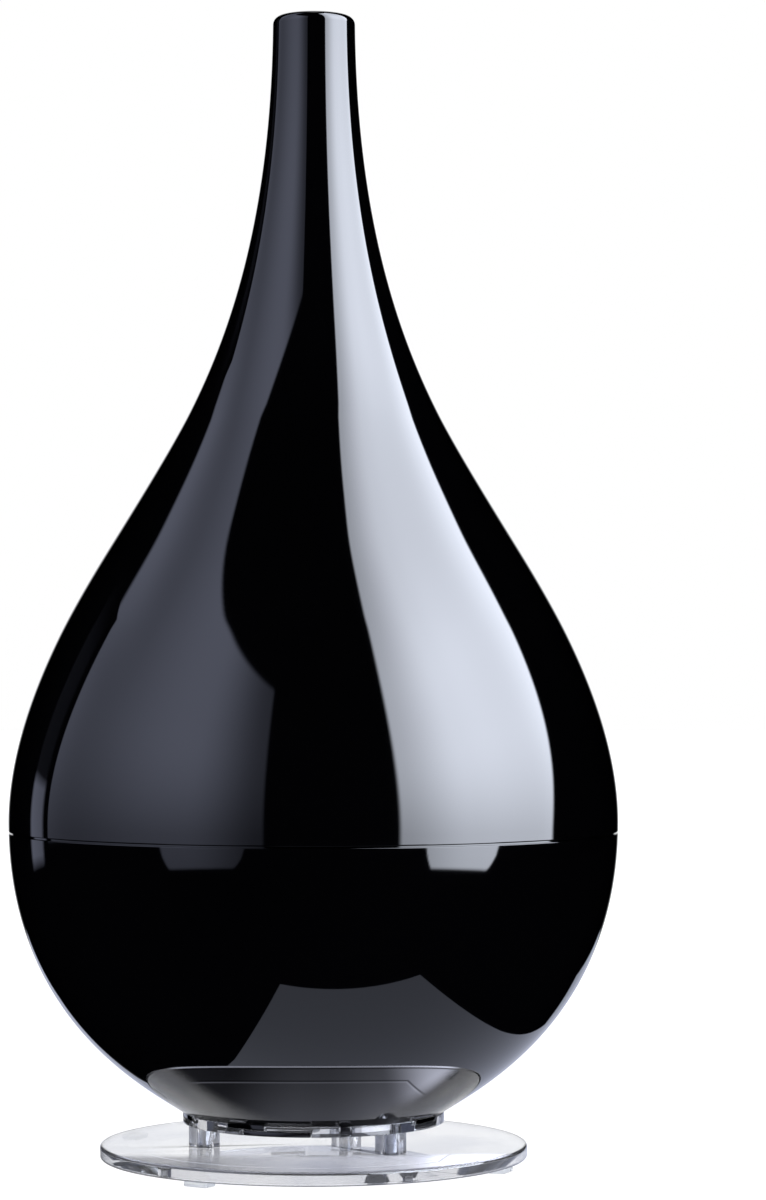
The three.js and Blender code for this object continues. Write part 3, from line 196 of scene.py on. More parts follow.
def reflection_card(name, turns, rises, colour, glow, step=1.0):
    """A card over a span of directions, as bright in each as glow(turn, rise) says."""
    columns = round((turns[1] - turns[0]) / step)
    rows = round((rises[1] - rises[0]) / step)
    grid = [(turns[0] + i * step, rises[0] + j * step)
            for j in range(rows + 1) for i in range(columns + 1)]
    points = [CARD_CENTRE + CARD_DISTANCE * towards(*point) for point in grid]
    mesh = sheet_of(name, rows, columns, points, glow=[glow(*point) for point in grid])
    mesh.materials.append(glowing(name, colour))
    return only_seen_in(link(bpy.data.objects.new(name, mesh)), glossy=True)


def left_glow(turn, rise):
    """A dull card, brightest a third of the way in, with a bulging upper edge."""
    top = 40 + 0.28 * (-18 - turn) + 8 * fade(turn, -75, -100)
    bottom = -5.6 - 6.5 * fade(turn, -60, -54) * fade(turn, -22, -30)
    across = (0.25 + 0.75 * fade(turn, -18, -48)) * (1 - 0.6 * fade(turn, -50, -108))
    across += 0.22 * fade(turn, -88, -114) * fade(rise, 24, 40)
    edge = fade(turn, -17.5, -19) * fade(turn, -121, -118)
    return 2.4 * across * edge * (0.34 + 0.66 * fade(rise, -16, 26)) \
        * fade(rise, top + 0.7, top - 0.7) * fade(rise, bottom - 0.5, bottom + 0.5)


def left_strip_glow(turn, rise):
    """A weak strip past the dull card's far edge."""
    return 0.8 * fade(turn, -131, -129) * fade(turn, -119, -121) * fade(rise, -9, -7) \
        * (0.05 + 0.95 * fade(rise, 6, 4)) * fade(rise, 30, 20)


def right_glow(turn, rise):
    """A bright softbox whose far edge leans outwards and whose foot has a step."""
    far = 99 + 17 * fade(rise, -4, 42)
    bottom = -5.6 - 6.5 * fade(turn, 40, 44) * fade(turn, 74, 66)
    across = (0.57 + 0.43 * fade(turn, 30, 60)) * (1 - 0.22 * fade(turn, 66, 100))
    up = (0.58 + 0.42 * fade(rise, -14, 24)) * (1 - 0.25 * fade(rise, 36, 64))
    edge = fade(turn, 30.5, 32.5) * fade(turn, far + 0.5, far - 1.5)
    return 18 * across * up * edge * fade(rise, bottom - 0.5, bottom + 0.5)


def back_glow(turn, rise):
    """The pale backdrop far behind, which fades before it comes round to the sides."""
    return 1.0 * fade(abs(turn), 163, 171)


BLUE_GREY = (0.70, 0.75, 1.0)
COOL_WHITE = (0.83, 0.88, 1.0)
reflection_card("left_card", (-124, -14), (-16, 78), BLUE_GREY, left_glow, 0.5)
reflection_card("left_strip", (-134, -116), (-12, 30), BLUE_GREY, left_strip_glow)
reflection_card("right_card", (28, 120), (-16, 76), COOL_WHITE, right_glow, 0.5)
reflection_card("back_card", (140, 220), (-30, 80), (0.97, 0.98, 1.0),
                lambda turn, rise: back_glow(turn if turn < 180 else turn - 360, rise), 2.0)

# %% [markdown]
# The drop's underside mirrors the table. There a white sheet lies under the drop between two
# black cloths, so its edges show low on the bowl. It mirrors the clear disc too, and that
# faint picture is painted on one more card lying on the disc. Black flags at the sides, which
# only light bent by the clear parts can meet, draw the dark lines along the stand's edges.

# %% Sheet and flags
SHEET_GLOW = 0.88
SHEET_OUTLINE = ((-34, -182), (114, -166), (135, -20), (162, 140), (240, 240), (330, 650),
                 (-330, 650), (-200, 250), (-100, 60), (-51, -85))
SHEET_LIFT = 0.3 * MM
sheet_mesh = bpy.data.meshes.new("table_sheet")
sheet_mesh.from_pydata([(x * MM, y * MM, SHEET_LIFT) for x, y in SHEET_OUTLINE], [],
                       [tuple(range(len(SHEET_OUTLINE)))])
sheet_mesh.materials.append(plain_emission("table_sheet", (0.76, 0.81, 1.0), SHEET_GLOW))
sheet_mesh.materials[0].cycles.emission_sampling = "NONE"
only_seen_in(link(bpy.data.objects.new("table_sheet", sheet_mesh)), glossy=True)


def flag(name, turns, rises):
    """A black card that only bent light meets."""
    card = reflection_card(name, turns, rises, (0.05, 0.06, 0.10), lambda turn, rise: 1.0, 4.0)
    return only_seen_in(card, transmission=True)


SHEEN_TURNS = (-100, 100)
SHEEN_REACH = (44.0, 93.0)
SHEEN_STEPS = (500, 98)
SHEEN_LIFT = 0.08 * MM


def sheen_glow(x, y):
    """The painted reflection of the stand's disc that the bowl's underside shows, in millimetres across it."""
    reach = math.hypot(x, y)
    # Painted reflection: a brighter right side, a dark and a bright line at the rim, and a dark step with a bright
    # line along the stand's inner edge.
    inside = 0.5 + 0.35 * fade(x, 5, 45) + 3.8 * fade(x, 38, 72) - 0.4 * fade(x, -5, -50)
    dark_rim_line = 1 - 0.9 * fade(reach, 90.4, 90.8) * fade(reach, 91.9, 91.5)
    bright_edge = 3.2 * fade(reach, 91.5, 91.9)
    step = max(reach - 80, -62 - 0.25 * (y + 80) - x, x - 47 - 0.25 * (y + 80))
    dark_step = 1 - 0.75 * fade(step, -0.1, 0.3) * fade(step, 1.3, 0.8)
    bright_line = 0.9 * fade(step, -1.2, -0.7) * fade(step, 0.1, -0.3)
    return inside * dark_rim_line * dark_step + bright_edge + bright_line


def painted_disc_reflection():
    """A card in the shape of the disc's front, lying on it, that carries the painted reflection. It thins out
    towards the back.
    """
    columns, rows = SHEEN_STEPS
    turns = [math.radians(SHEEN_TURNS[0] + (SHEEN_TURNS[1] - SHEEN_TURNS[0]) * k / columns)
             for k in range(columns + 1)]
    reaches = [SHEEN_REACH[0] + (SHEEN_REACH[1] - SHEEN_REACH[0]) * i / rows
               for i in range(rows + 1)]
    spots = [(r * math.sin(t), -r * math.cos(t)) for r in reaches for t in turns]
    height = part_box("stand_disc")[1].z + SHEEN_LIFT
    mesh = sheet_of("painted_disc_reflection", rows, columns, [(x * MM, y * MM, height) for x, y in spots],
                    glow=[sheen_glow(*spot) for spot in spots],
                    cover=[fade(y, -34, -52) for _, y in spots])
    material = glowing("painted_disc_reflection", (0.80, 0.83, 1.0))
    tree = material.node_tree
    cover, mixer = tree.nodes.new("ShaderNodeAttribute"), tree.nodes.new("ShaderNodeMixShader")
    cover.attribute_name = "cover"
    shine = next(node for node in tree.nodes if node.type == "EMISSION")
    output = next(node for node in tree.nodes if node.type == "OUTPUT_MATERIAL")
    tree.links.new(cover.outputs["Fac"], mixer.inputs[0])
    tree.links.new(tree.nodes.new("ShaderNodeBsdfTransparent").outputs[0], mixer.inputs[1])
    tree.links.new(shine.outputs[0], mixer.inputs[2])
    tree.links.new(mixer.outputs[0], output.inputs[0])
    mesh.materials.append(material)
    return only_seen_in(link(bpy.data.objects.new("painted_disc_reflection", mesh)), glossy=True)


painted_disc_reflection()
flag("left_flag", (-150, -34), (-2, 58))
flag("right_flag", (34, 150), (-2, 58))
print("sheet corners", len(SHEET_OUTLINE), "with the disc's sheen and two flags")

# %% [markdown]
# ## Finishes
#
# Shader maths reads best as arithmetic. A Value stands for a number that changes over the
# surface, and plus, minus and times on it add the Math nodes. Every other node comes from
# one method, so a finish is a few lines that say what varies and by how much.

# %% Shader arithmetic
class Value:
    """A number worked out over the surface."""

    def __init__(self, graph, socket):
        self.graph = graph
        self.socket = socket

    def combine(self, operation, first, second):
        node = self.graph.node("ShaderNodeMath", {"operation": operation}, {0: first, 1: second})
        return Value(self.graph, node.outputs[0])

    def __add__(self, other):
        return self.combine("ADD", self, other)

    def __sub__(self, other):
        return self.combine("SUBTRACT", self, other)

    def __rsub__(self, other):
        return self.combine("SUBTRACT", other, self)

    def __mul__(self, other):
        return self.combine("MULTIPLY", self, other)

    __radd__ = __add__
    __rmul__ = __mul__


class Finish:
    """One material and its Principled shader."""

    def __init__(self, name, **constants):
        self.name = name
        self.material = bpy.data.materials.new("finish_" + name)
        self.material.use_nodes = True
        self.tree = self.material.node_tree
        self.shader = self.tree.nodes["Principled BSDF"]
        for socket, value in constants.items():
            self.set(socket.replace("_", " "), value)
        place = self.tree.nodes.new("ShaderNodeTexCoord")
        self.place = Value(self, place.outputs["Object"])

    def set(self, name, value):
        self.fill(self.shader.inputs[name], value)

    def fill(self, socket, value):
        if isinstance(value, Value):
            self.tree.links.new(value.socket, socket)
        elif isinstance(value, tuple) and socket.type == "RGBA":
            socket.default_value = (*value, 1)
        else:
            socket.default_value = value

    def node(self, kind, settings, inputs):
        node = self.tree.nodes.new(kind)
        for name, value in settings.items():
            setattr(node, name, value)
        for name, value in inputs.items():
            self.fill(node.inputs[name], value)
        return node

    def noise(self, scale, detail=2.0):
        inputs = {"Vector": self.place, "Scale": scale, "Detail": detail}
        return Value(self, self.node("ShaderNodeTexNoise", {}, inputs).outputs["Fac"])

    def mix(self, mask, first, second):
        node = self.node("ShaderNodeMix", {"data_type": "RGBA"}, {0: mask, 6: first, 7: second})
        return Value(self, node.outputs[2])

    def bump(self, height, depth, strength=1.0):
        inputs = {"Height": height, "Distance": depth, "Strength": strength}
        self.set("Normal", Value(self, self.node("ShaderNodeBump", {}, inputs).outputs[0]))


print("shader arithmetic ready")

# %% [markdown]
# The casings are polished black plastic. Their colour is almost nothing, so the finish lies
# in the polish: a very low roughness that drifts a little where hands and cloths have been,
# and a faint waviness left by the mould.

# %% Gloss black
gloss_black = Finish("gloss_black", IOR=1.5)
wiped = gloss_black.noise(9.0, 3.0)
gloss_black.set("Base Color",
                gloss_black.mix(wiped, (0.0003, 0.0003, 0.0005), (0.0008, 0.0008, 0.0012)))
gloss_black.set("Roughness", 0.018 + 0.03 * wiped)
gloss_black.bump(gloss_black.noise(14.0, 1.0), 0.00002)
print(gloss_black.material.name)

# %% [markdown]
# The stand is clear acrylic. Light goes through it, so its look comes from its own shape and
# from its index. Faint cloudy patches, as of dust, keep it from looking like perfect glass.
# The pads under it are softer and more milky.

# %% Clear acrylic and silicone
clear_acrylic = Finish("clear_acrylic", IOR=1.49, Transmission_Weight=0.94)
dust = clear_acrylic.noise(26.0, 6.0)
clear_acrylic.set("Base Color",
                  clear_acrylic.mix(dust * dust * 2.6, (1.0, 1.0, 1.0), (0.66, 0.68, 0.75)))
clear_acrylic.set("Roughness", 0.004 + 0.02 * clear_acrylic.noise(30.0))
clear_silicone = Finish("clear_silicone", IOR=1.41, Transmission_Weight=0.8)
cloud = clear_silicone.noise(300.0)
clear_silicone.set("Base Color", clear_silicone.mix(cloud, (0.80, 0.82, 0.82), (0.9, 0.91, 0.9)))
clear_silicone.set("Roughness", 0.22 + 0.15 * cloud)
print(clear_acrylic.material.name, clear_silicone.material.name)

# %% [markdown]
# Satin and matt mouldings are spark-eroded: a fine even grain that scatters the light. The
# same recipe makes them all, with a colour, a roughness and a grain depth for each.

# %% Moulded plastics
def moulded(name, dark, light, roughness, grain):
    """A moulded plastic with fine grain."""
    finish = Finish(name, IOR=1.5)
    blotch = finish.noise(25.0, 3.0)
    fine = finish.noise(2600.0, 1.0)
    finish.set("Base Color", finish.mix(blotch, dark, light))
    finish.set("Roughness", roughness - 0.06 + 0.12 * blotch)
    finish.bump(fine, grain, 0.35)
    return finish


satin_black = moulded("satin_black", (0.010, 0.010, 0.011), (0.018, 0.018, 0.020), 0.34, 0.00003)
matt_black = moulded("matt_black", (0.014, 0.014, 0.015), (0.024, 0.024, 0.026), 0.62, 0.00006)
smoked_lens = moulded("smoked_lens", (0.006, 0.006, 0.008), (0.010, 0.010, 0.013), 0.09, 0.00001)
grey_plastic = moulded("grey_plastic", (0.16, 0.17, 0.18), (0.22, 0.23, 0.24), 0.42, 0.00004)
white_plastic = moulded("white_plastic", (0.62, 0.63, 0.64), (0.74, 0.75, 0.75), 0.38, 0.00003)
black_rubber = moulded("black_rubber", (0.018, 0.018, 0.018), (0.032, 0.032, 0.031), 0.78, 0.00008)
print("six mouldings")

# %% [markdown]
# The rest is inside: foam, steel screws, aluminium, the brass mist disc, copper windings and
# green boards. Metals take their colour from reflections, so their roughness varies more.

# %% Foam, metals and boards
filter_foam = Finish("filter_foam", Roughness=0.95)
cells = filter_foam.node("ShaderNodeTexVoronoi", {}, {"Vector": filter_foam.place, "Scale": 900.0})
pore_depth_and_shade = Value(filter_foam, cells.outputs["Distance"])
# The foam's colour is darker where its bump is lowest, down in the pores: painted shade.
filter_foam.set("Base Color", filter_foam.mix(pore_depth_and_shade, (0.02, 0.02, 0.022), (0.09, 0.09, 0.095)))
filter_foam.bump(pore_depth_and_shade, 0.0006)


def metal(name, dark, light, roughness, scratch):
    """A bare metal with fine random scratches."""
    finish = Finish(name, Metallic=1.0)
    tarnish = finish.noise(60.0, 4.0)
    finish.set("Base Color", finish.mix(tarnish, dark, light))
    finish.set("Roughness", roughness - 0.08 + 0.16 * tarnish)
    finish.bump(finish.noise(1800.0, 2.0), scratch, 0.3)
    return finish


screw_steel = metal("screw_steel", (0.42, 0.43, 0.44), (0.62, 0.63, 0.64), 0.28, 0.00002)
aluminium = metal("aluminium", (0.62, 0.63, 0.64), (0.76, 0.77, 0.78), 0.36, 0.00003)
brass = metal("brass", (0.55, 0.42, 0.18), (0.72, 0.58, 0.30), 0.30, 0.00002)
copper = metal("copper", (0.42, 0.17, 0.07), (0.62, 0.30, 0.14), 0.34, 0.00004)
circuit_board = moulded("circuit_board", (0.012, 0.075, 0.035), (0.02, 0.11, 0.05), 0.38, 0.00003)
print("metals and boards")

# %% [markdown]
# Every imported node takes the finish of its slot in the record. A node that is rebuilt later
# hands its slot on to the new piece.

# %% Paint the frame
FINISHES = {finish.name: finish.material for finish in (
    gloss_black, clear_acrylic, clear_silicone, satin_black, matt_black, smoked_lens, grey_plastic,
    white_plastic, black_rubber, filter_foam, screw_steel, aluminium, brass, copper, circuit_board)}
slot_of = {row["node"]: row["material_slot"] for row in frame["record"]["subparts"]}
body_of = {node: body for body, nodes in frame["record"]["behaviour"]["bodies"].items()
           for node in nodes}


def paint(thing, slot):
    """Gives a piece the finish of a slot."""
    thing.data.materials.clear()
    thing.data.materials.append(FINISHES[slot])


for name, node in frame["nodes"].items():
    paint(node, slot_of[name])
print("painted", len(slot_of), "nodes")

# %% [markdown]
# ## The drop's outline
#
# The drop is a solid of revolution, so it is one curve turned about the upright axis. Three
# cubic curves make it: the bowl up to the widest ring, the shoulder, and the hollow neck.
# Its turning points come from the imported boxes, and the handles are its own few values.

# %% Outline curves
bowl_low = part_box("stand_plate")[1].z + 0.2 * MM
foot_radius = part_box("stand_plate")[1].x
drop_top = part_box("tank_shell")[1].z
widest_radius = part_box("tank_shell")[1].x
shell_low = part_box("tank_shell")[0].z
bowl_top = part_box("base_bowl")[1].z
LIP = 3.7 * MM
WIDEST_HEIGHT = 148.3 * MM
SHOULDER = (81.8 * MM, 279 * MM)
SHOULDER_SLOPE = 0.59
NECK_RADIUS = 18 * MM
BOWL_WALL = 2.8 * MM
SHELL_WALL = 2.6 * MM

bowl_curve = ((foot_radius, bowl_low), (foot_radius + 14.2 * MM, bowl_low + 9.8 * MM),
              (widest_radius, WIDEST_HEIGHT - 86.4 * MM), (widest_radius, WIDEST_HEIGHT))
shoulder_curve = ((widest_radius, WIDEST_HEIGHT), (widest_radius, WIDEST_HEIGHT + 56.7 * MM),
                  (SHOULDER[0] + SHOULDER_SLOPE * 14 * MM, SHOULDER[1] - 14 * MM), SHOULDER)
neck_curve = (SHOULDER, (SHOULDER[0] - SHOULDER_SLOPE * 36.5 * MM, SHOULDER[1] + 36.5 * MM),
              (NECK_RADIUS + 1.4 * MM, drop_top - LIP - 128.4 * MM), (NECK_RADIUS, drop_top - LIP))
DROP = (bowl_curve, shoulder_curve, neck_curve)


def on_curve(curve, share, inset=0.0):
    """The point at a share of a curve, moved inwards at right angles by inset."""
    a, b, c, d = (Vector(point) for point in curve)
    rest = 1 - share
    point = a * rest ** 3 + b * 3 * rest ** 2 * share + c * 3 * rest * share ** 2 + d * share ** 3
    along = (b - a) * rest ** 2 + (c - b) * 2 * rest * share + (d - c) * share ** 2
    along.normalize()
    return (point.x - inset * along.y, point.y + inset * along.x)


def share_at(curve, height, inset=0.0):
    """The share of a rising curve at which it reaches a height, found by halving."""
    low, high = 0.0, 1.0
    for _ in range(40):
        middle = (low + high) / 2
        if on_curve(curve, middle, inset)[1] < height:
            low = middle
        else:
            high = middle
    return (low + high) / 2


def eased(points, passes=90, reach=45 * MM):
    """Spreads the change of bend where the shoulder meets the neck, so no kink shows."""
    for _ in range(passes):
        before = list(points)
        for i in range(1, len(points) - 1):
            near = max(0.0, 1 - abs(before[i][1] - SHOULDER[1]) / reach)
            points[i] = tuple((1 - near / 2) * here + near / 4 * (low + high)
                              for here, low, high in zip(before[i], before[i - 1], before[i + 1]))
    return points


def skin(low, high, inset=0.0, steps=48):
    """Points of the drop's skin, or of a lining inside it, from one height up to another."""
    points = []
    for curve in DROP:
        start, end = share_at(curve, low, inset), share_at(curve, high, inset)
        count = math.ceil(steps * (end - start) - 0.01)
        if count > 0:
            points += [on_curve(curve, start + (end - start) * i / count, inset)
                       for i in range(1 if points else 0, count + 1)]
    return eased(points)


def skin_radius(height, inset=0.0):
    """How far the skin, or a lining inside it, is from the axis at a height."""
    curve = next((each for each in DROP if on_curve(each, 1, inset)[1] >= height), neck_curve)
    return on_curve(curve, share_at(curve, height, inset), inset)[0]


print("foot", round(foot_radius, 4), "widest", round(widest_radius, 4), "top", round(drop_top, 4))

# %% [markdown]
# Turning an outline into a mesh by hand gives clean quads and exact sizes. A corner that is
# not rounded would look like cut paper, so the outline's corners are rounded first: each
# marked corner becomes a short arc.

# %% Turned pieces
def rounded(points, radius, steps=3):
    """Replaces each corner of an outline by a small arc, where its sides leave room."""
    soft = []
    for i, point in enumerate(points):
        here = Vector(point)
        before, after = Vector(points[i - 1]), Vector(points[(i + 1) % len(points)])
        to_before, to_after = before - here, after - here
        reach = min(radius, 0.45 * to_before.length, 0.45 * to_after.length)
        on_axis = here.x < 1e-9
        straight = to_before.normalized().dot(to_after.normalized()) < -0.97
        if on_axis or straight or reach < 1e-6:
            soft.append(tuple(here))
            continue
        start = here + to_before.normalized() * reach
        end = here + to_after.normalized() * reach
        for k in range(steps + 1):
            share = k / steps
            point_on = start * (1 - share) ** 2 + here * 2 * share * (1 - share) + end * share ** 2
            soft.append(tuple(point_on))
    return soft


def turned_mesh(name, outline, sides):
    """A closed mesh of revolution about Z. Outline points on the axis become poles."""
    mesh = bmesh.new()
    rings = []
    for radius, height in outline:
        if radius < 1e-9:
            rings.append([mesh.verts.new((0, 0, height))])
        else:
            rings.append([mesh.verts.new((radius * math.sin(2 * math.pi * k / sides),
                                          -radius * math.cos(2 * math.pi * k / sides), height))
                          for k in range(sides)])
    pairs = list(zip(rings, rings[1:]))
    if len(rings[0]) > 1:
        pairs.append((rings[-1], rings[0]))
    for low, high in pairs:
        for k in range(sides):
            n = (k + 1) % sides
            if len(low) > 1 and len(high) > 1:
                mesh.faces.new((low[k], low[n], high[n], high[k]))
            elif len(high) > 1:
                mesh.faces.new((low[0], high[n], high[k]))
            elif len(low) > 1:
                mesh.faces.new((low[k], low[n], high[0]))
    bmesh.ops.recalc_face_normals(mesh, faces=mesh.faces)
    data = bpy.data.meshes.new(name)
    mesh.to_mesh(data)
    mesh.free()
    return data


def plain_geometry(thing):
    """Turns an object's modifiers into plain geometry."""
    bpy.context.view_layer.update()
    applied = thing.evaluated_get(bpy.context.evaluated_depsgraph_get())
    result = bpy.data.meshes.new_from_object(applied)
    thing.modifiers.clear()
    thing.data = result
    return thing


def smooth(thing, angle=32, flat_faces=True):
    """Smooth shading with sharp edges kept. Where a flat face meets a small rounding, the
    larger face decides, so that flat clear parts don't bend light like a lens."""
    thing.data.shade_smooth()
    thing.data.set_sharp_from_angle(angle=math.radians(angle))
    if flat_faces:
        weigh = thing.modifiers.new("weigh", "WEIGHTED_NORMAL")
        weigh.keep_sharp = True
        weigh.weight = 100
        plain_geometry(thing)
    return thing


def finish_piece(thing, node):
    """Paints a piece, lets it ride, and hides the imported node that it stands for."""
    paint(thing, slot_of[node])
    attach(thing, body_of[node])
    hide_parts(node)
    return thing


def turned(name, outline, node, sides=96, soften=0.3 * MM, place=(0, 0), flat_faces=True):
    """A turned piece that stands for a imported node, on a place across or a whole Matrix."""
    shape = rounded(outline, soften) if soften else outline
    mesh = turned_mesh(name, shape, sides)
    mesh.transform(place if isinstance(place, Matrix) else Matrix.Translation((*place, 0)))
    thing = link(bpy.data.objects.new(name, mesh))
    return finish_piece(smooth(thing, 40, flat_faces), node)


def ends(node):
    """A round node's place across, its radius, and its lower and upper heights."""
    low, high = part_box(node)
    return ((low.x + high.x) / 2, (low.y + high.y) / 2), (high.y - low.y) / 2, low.z, high.z


def tube(node, bore, sides=64, soften=0.25 * MM):
    """A plain ring or pipe in the place of a packed one."""
    place, radius, low, high = ends(node)
    outline = [(bore, low), (radius, low), (radius, high), (bore, high)]
    return turned("round_" + node, outline, node, sides, soften, place)


def supported(points, step=0.15 * MM):
    """Adds a point close to each end of a row, so shading bends only at the very edge."""
    first, second, last, before = (Vector(points[i]) for i in (0, 1, -1, -2))
    start = first + (second - first).normalized() * step
    end = last + (before - last).normalized() * step
    return [points[0], tuple(start)] + list(points[1:-1]) + [tuple(end), points[-1]]


print("turning helpers ready")

# %% [markdown]
# ## The tank shell
#
# The shell is the drop above the seam: one thin wall with a rounded lip at the tip, where the
# mist comes out. Many steps along the outline keep its reflections flowing.

# %% Tank shell
EDGE = 0.25 * MM
SHELL_SIDES = 256
TIP_CLEARANCE = 0.3 * MM
TIP_SEAT = 10 * MM
TIP_THICK = 12 * MM
tip_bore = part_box("mist_nozzle")[1].x + TIP_CLEARANCE


def lip_arc(steps=8):
    """The rounded lip at the drop's tip."""
    centre = (NECK_RADIUS - LIP, drop_top - LIP)
    angles = [math.pi / 2 * i / steps for i in range(1, steps + 1)]
    return [(centre[0] + LIP * math.cos(a), centre[1] + LIP * math.sin(a)) for a in angles]


def corner_arc(centre, radius, start, end, steps=4):
    """Points of a small arc, angles in degrees from outwards towards up."""
    angles = [math.radians(start + (end - start) * i / steps) for i in range(steps + 1)]
    return [(centre[0] + radius * math.cos(a), centre[1] + radius * math.sin(a)) for a in angles]


outer = supported(skin(shell_low + EDGE, drop_top - LIP, 0.0, 56))
lining = skin(shell_low + EDGE, drop_top - TIP_THICK, SHELL_WALL, 30)
low_outer = corner_arc((outer[0][0] - EDGE, shell_low + EDGE), EDGE, -90, 0)[:-1]
low_inner = corner_arc((lining[0][0] + EDGE, shell_low + EDGE), EDGE, 180, 270)[1:]
shell_outline = (low_outer + outer + lip_arc()
                 + [(tip_bore, drop_top), (tip_bore, drop_top - TIP_SEAT)]
                 + lining[::-1] + low_inner)
tank_shell = turned("drop_shell", shell_outline, "tank_shell", sides=SHELL_SIDES, soften=0,
                    flat_faces=False)
print("tank shell", len(tank_shell.data.polygons), "faces")

# %% [markdown]
# Some pieces have openings that no turning makes. Those are cut with a Boolean, as a drill or
# a punch would, and the sharp edges left on small pieces are then rounded like a mould's.

# %% Cutting and rounding
def block(corners_low, corners_high):
    """A closed mesh between two rings of corners that match one to one."""
    mesh = bmesh.new()
    low = [mesh.verts.new(point) for point in corners_low]
    high = [mesh.verts.new(point) for point in corners_high]
    mesh.faces.new(low[::-1])
    mesh.faces.new(high)
    for i in range(len(low)):
        n = (i + 1) % len(low)
        mesh.faces.new((low[i], low[n], high[n], high[i]))
    bmesh.ops.recalc_face_normals(mesh, faces=mesh.faces)
    return mesh


def arc_block(inner, outer, start, end, low, high, steps=12):
    """A block between two radii over a span of degrees round from the front."""
    turns = [math.radians(start + (end - start) * i / steps) for i in range(steps + 1)]
    ring = [(outer * math.sin(t), -outer * math.cos(t)) for t in turns] \
        + [(inner * math.sin(t), -inner * math.cos(t)) for t in reversed(turns)]
    return block([(x, y, low) for x, y in ring], [(x, y, high) for x, y in ring])


def plate_block(width, height, corner, low, high, steps=8):
    """A plate with round corners, flat across Z."""
    ring = []
    for turn, (sx, sy) in enumerate(((1, 1), (-1, 1), (-1, -1), (1, -1))):
        for k in range(steps + 1):
            angle = math.pi / 2 * (turn + k / steps)
            ring.append((sx * (width / 2 - corner) + corner * math.cos(angle),
                         sy * (height / 2 - corner) + corner * math.sin(angle)))
    return block([(x, y, low) for x, y in ring], [(x, y, high) for x, y in ring])


def round_block(radius, low, high, place=(0, 0), sides=48, top_radius=None):
    """A drum, or a cone where the top has a radius of its own."""
    turns = [2 * math.pi * k / sides for k in range(sides)]
    return block(*([(place[0] + reach * math.cos(t), place[1] + reach * math.sin(t), height)
                    for t in turns]
                   for reach, height in ((radius, low), (top_radius or radius, high))))


def soften_edges(mesh, width, steps=2):
    """Rounds every edge where two faces meet at more than 30 degrees."""
    sharp = [edge for edge in mesh.edges if edge.calc_face_angle(0) > math.radians(30)]
    bmesh.ops.bevel(mesh, geom=sharp, offset=width, segments=steps, profile=0.5,
                    affect="EDGES", clamp_overlap=True)
    return mesh


def to_object(name, mesh, matrix=Matrix()):
    data = bpy.data.meshes.new(name)
    mesh.to_mesh(data)
    mesh.free()
    data.transform(matrix)
    return link(bpy.data.objects.new(name, data))


def carve(thing, cutters):
    """Cuts meshes out of an object and leaves plain geometry."""
    together = bmesh.new()
    for cutter, matrix in cutters:
        data = bpy.data.meshes.new("cutter")
        cutter.to_mesh(data)
        data.transform(matrix)
        together.from_mesh(data)
        cutter.free()
    tool = to_object("cutter", together)
    cut = thing.modifiers.new("cut", "BOOLEAN")
    cut.operation, cut.solver, cut.object = "DIFFERENCE", "EXACT", tool
    plain_geometry(thing)
    bpy.data.objects.remove(tool)
    return thing


def detail(thing, body, slot):
    """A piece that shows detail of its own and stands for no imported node."""
    paint(thing, slot)
    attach(thing, body)
    return thing


def bored(thing, radius, low, high, places, top_radius=None):
    """Bores one round hole at each place, a cone where it has a top radius."""
    return carve(thing, [(round_block(radius, low, high, place, 32, top_radius), Matrix())
                         for place in places])


def middle_of(node):
    """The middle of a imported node's box."""
    low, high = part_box(node)
    return (low + high) / 2


def numbered(stem, count):
    """The names of pieces that are numbered from one."""
    return [f"{stem}_{i + 1}" for i in range(count)]


print("cutting helpers ready")

# %% [markdown]
# The power inlet and the button sit in a flat panel let into the bowl's back, low down, where
# a hand reaches round to it. The button's own axis in the record tells which way it faces.

# %% The panel's place
JACK_LENGTH = 13 * MM
JACK_STAND = 0.6 * MM
PANEL_SIZE = (44 * MM, 20 * MM)
PANEL_CORNER = 6 * MM
PANEL_THICKNESS = 3 * MM
FIT = 0.3 * MM
outward = -Vector(joints["button_press"]["axis"]).normalized()
outward = outward if outward.y > 0 else -outward
panel_face = middle_of("dc_jack") + outward * (JACK_LENGTH - JACK_STAND) / 2


def on_panel(x=0.0):
    """The matrix that stands a piece, drawn facing up, on the panel at a place across."""
    up = outward.cross(Vector((1, 0, 0)))
    turn = Matrix((Vector((1, 0, 0)), up, outward)).transposed().to_4x4()
    return Matrix.Translation((x, panel_face.y, panel_face.z)) @ turn


jack_x = middle_of("dc_jack").x
button_x = middle_of("power_button").x
print("panel face", tuple(round(v, 4) for v in panel_face), "jack", round(jack_x, 4))

# %% [markdown]
# The bowl is the lower part of the same drop. Its rim is rounded like the shell's edge, so
# that the seam between them reads as a fine line. A low step inside the rim keeps light from
# shining through the seam, and a ledge carries the basin. After the window is cut, the skin's
# shading is worked out again from the outline, or the cut would pucker the reflections.

# %% Bowl
BASIN_RIM_SEAT = 2.6 * MM
LEDGE = 6 * MM
BOWL_MOUTH = 30 * MM
LINING_LIFT = 0.2 * MM
WINDOW_DEPTHS = (-8 * MM, 20 * MM)
bowl_floor = bowl_low + BOWL_WALL
ledge_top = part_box("water_basin")[1].z - BASIN_RIM_SEAT
bowl_skin = supported(skin(bowl_low, bowl_top - EDGE, 0.0, 64))
rim = corner_arc((bowl_skin[-1][0] - EDGE, bowl_top - EDGE), EDGE, 0, 90)[1:]
rim_inner = skin_radius(bowl_top, BOWL_WALL)
RIM_STEP = (1.2 * MM, 0.6 * MM)
ledge_radius = skin_radius(ledge_top, BOWL_WALL)
lining = skin(bowl_floor + LINING_LIFT, ledge_top - 2 * LEDGE, BOWL_WALL, 30)
step_out, step_up = rim_inner + RIM_STEP[0], bowl_top + RIM_STEP[1]
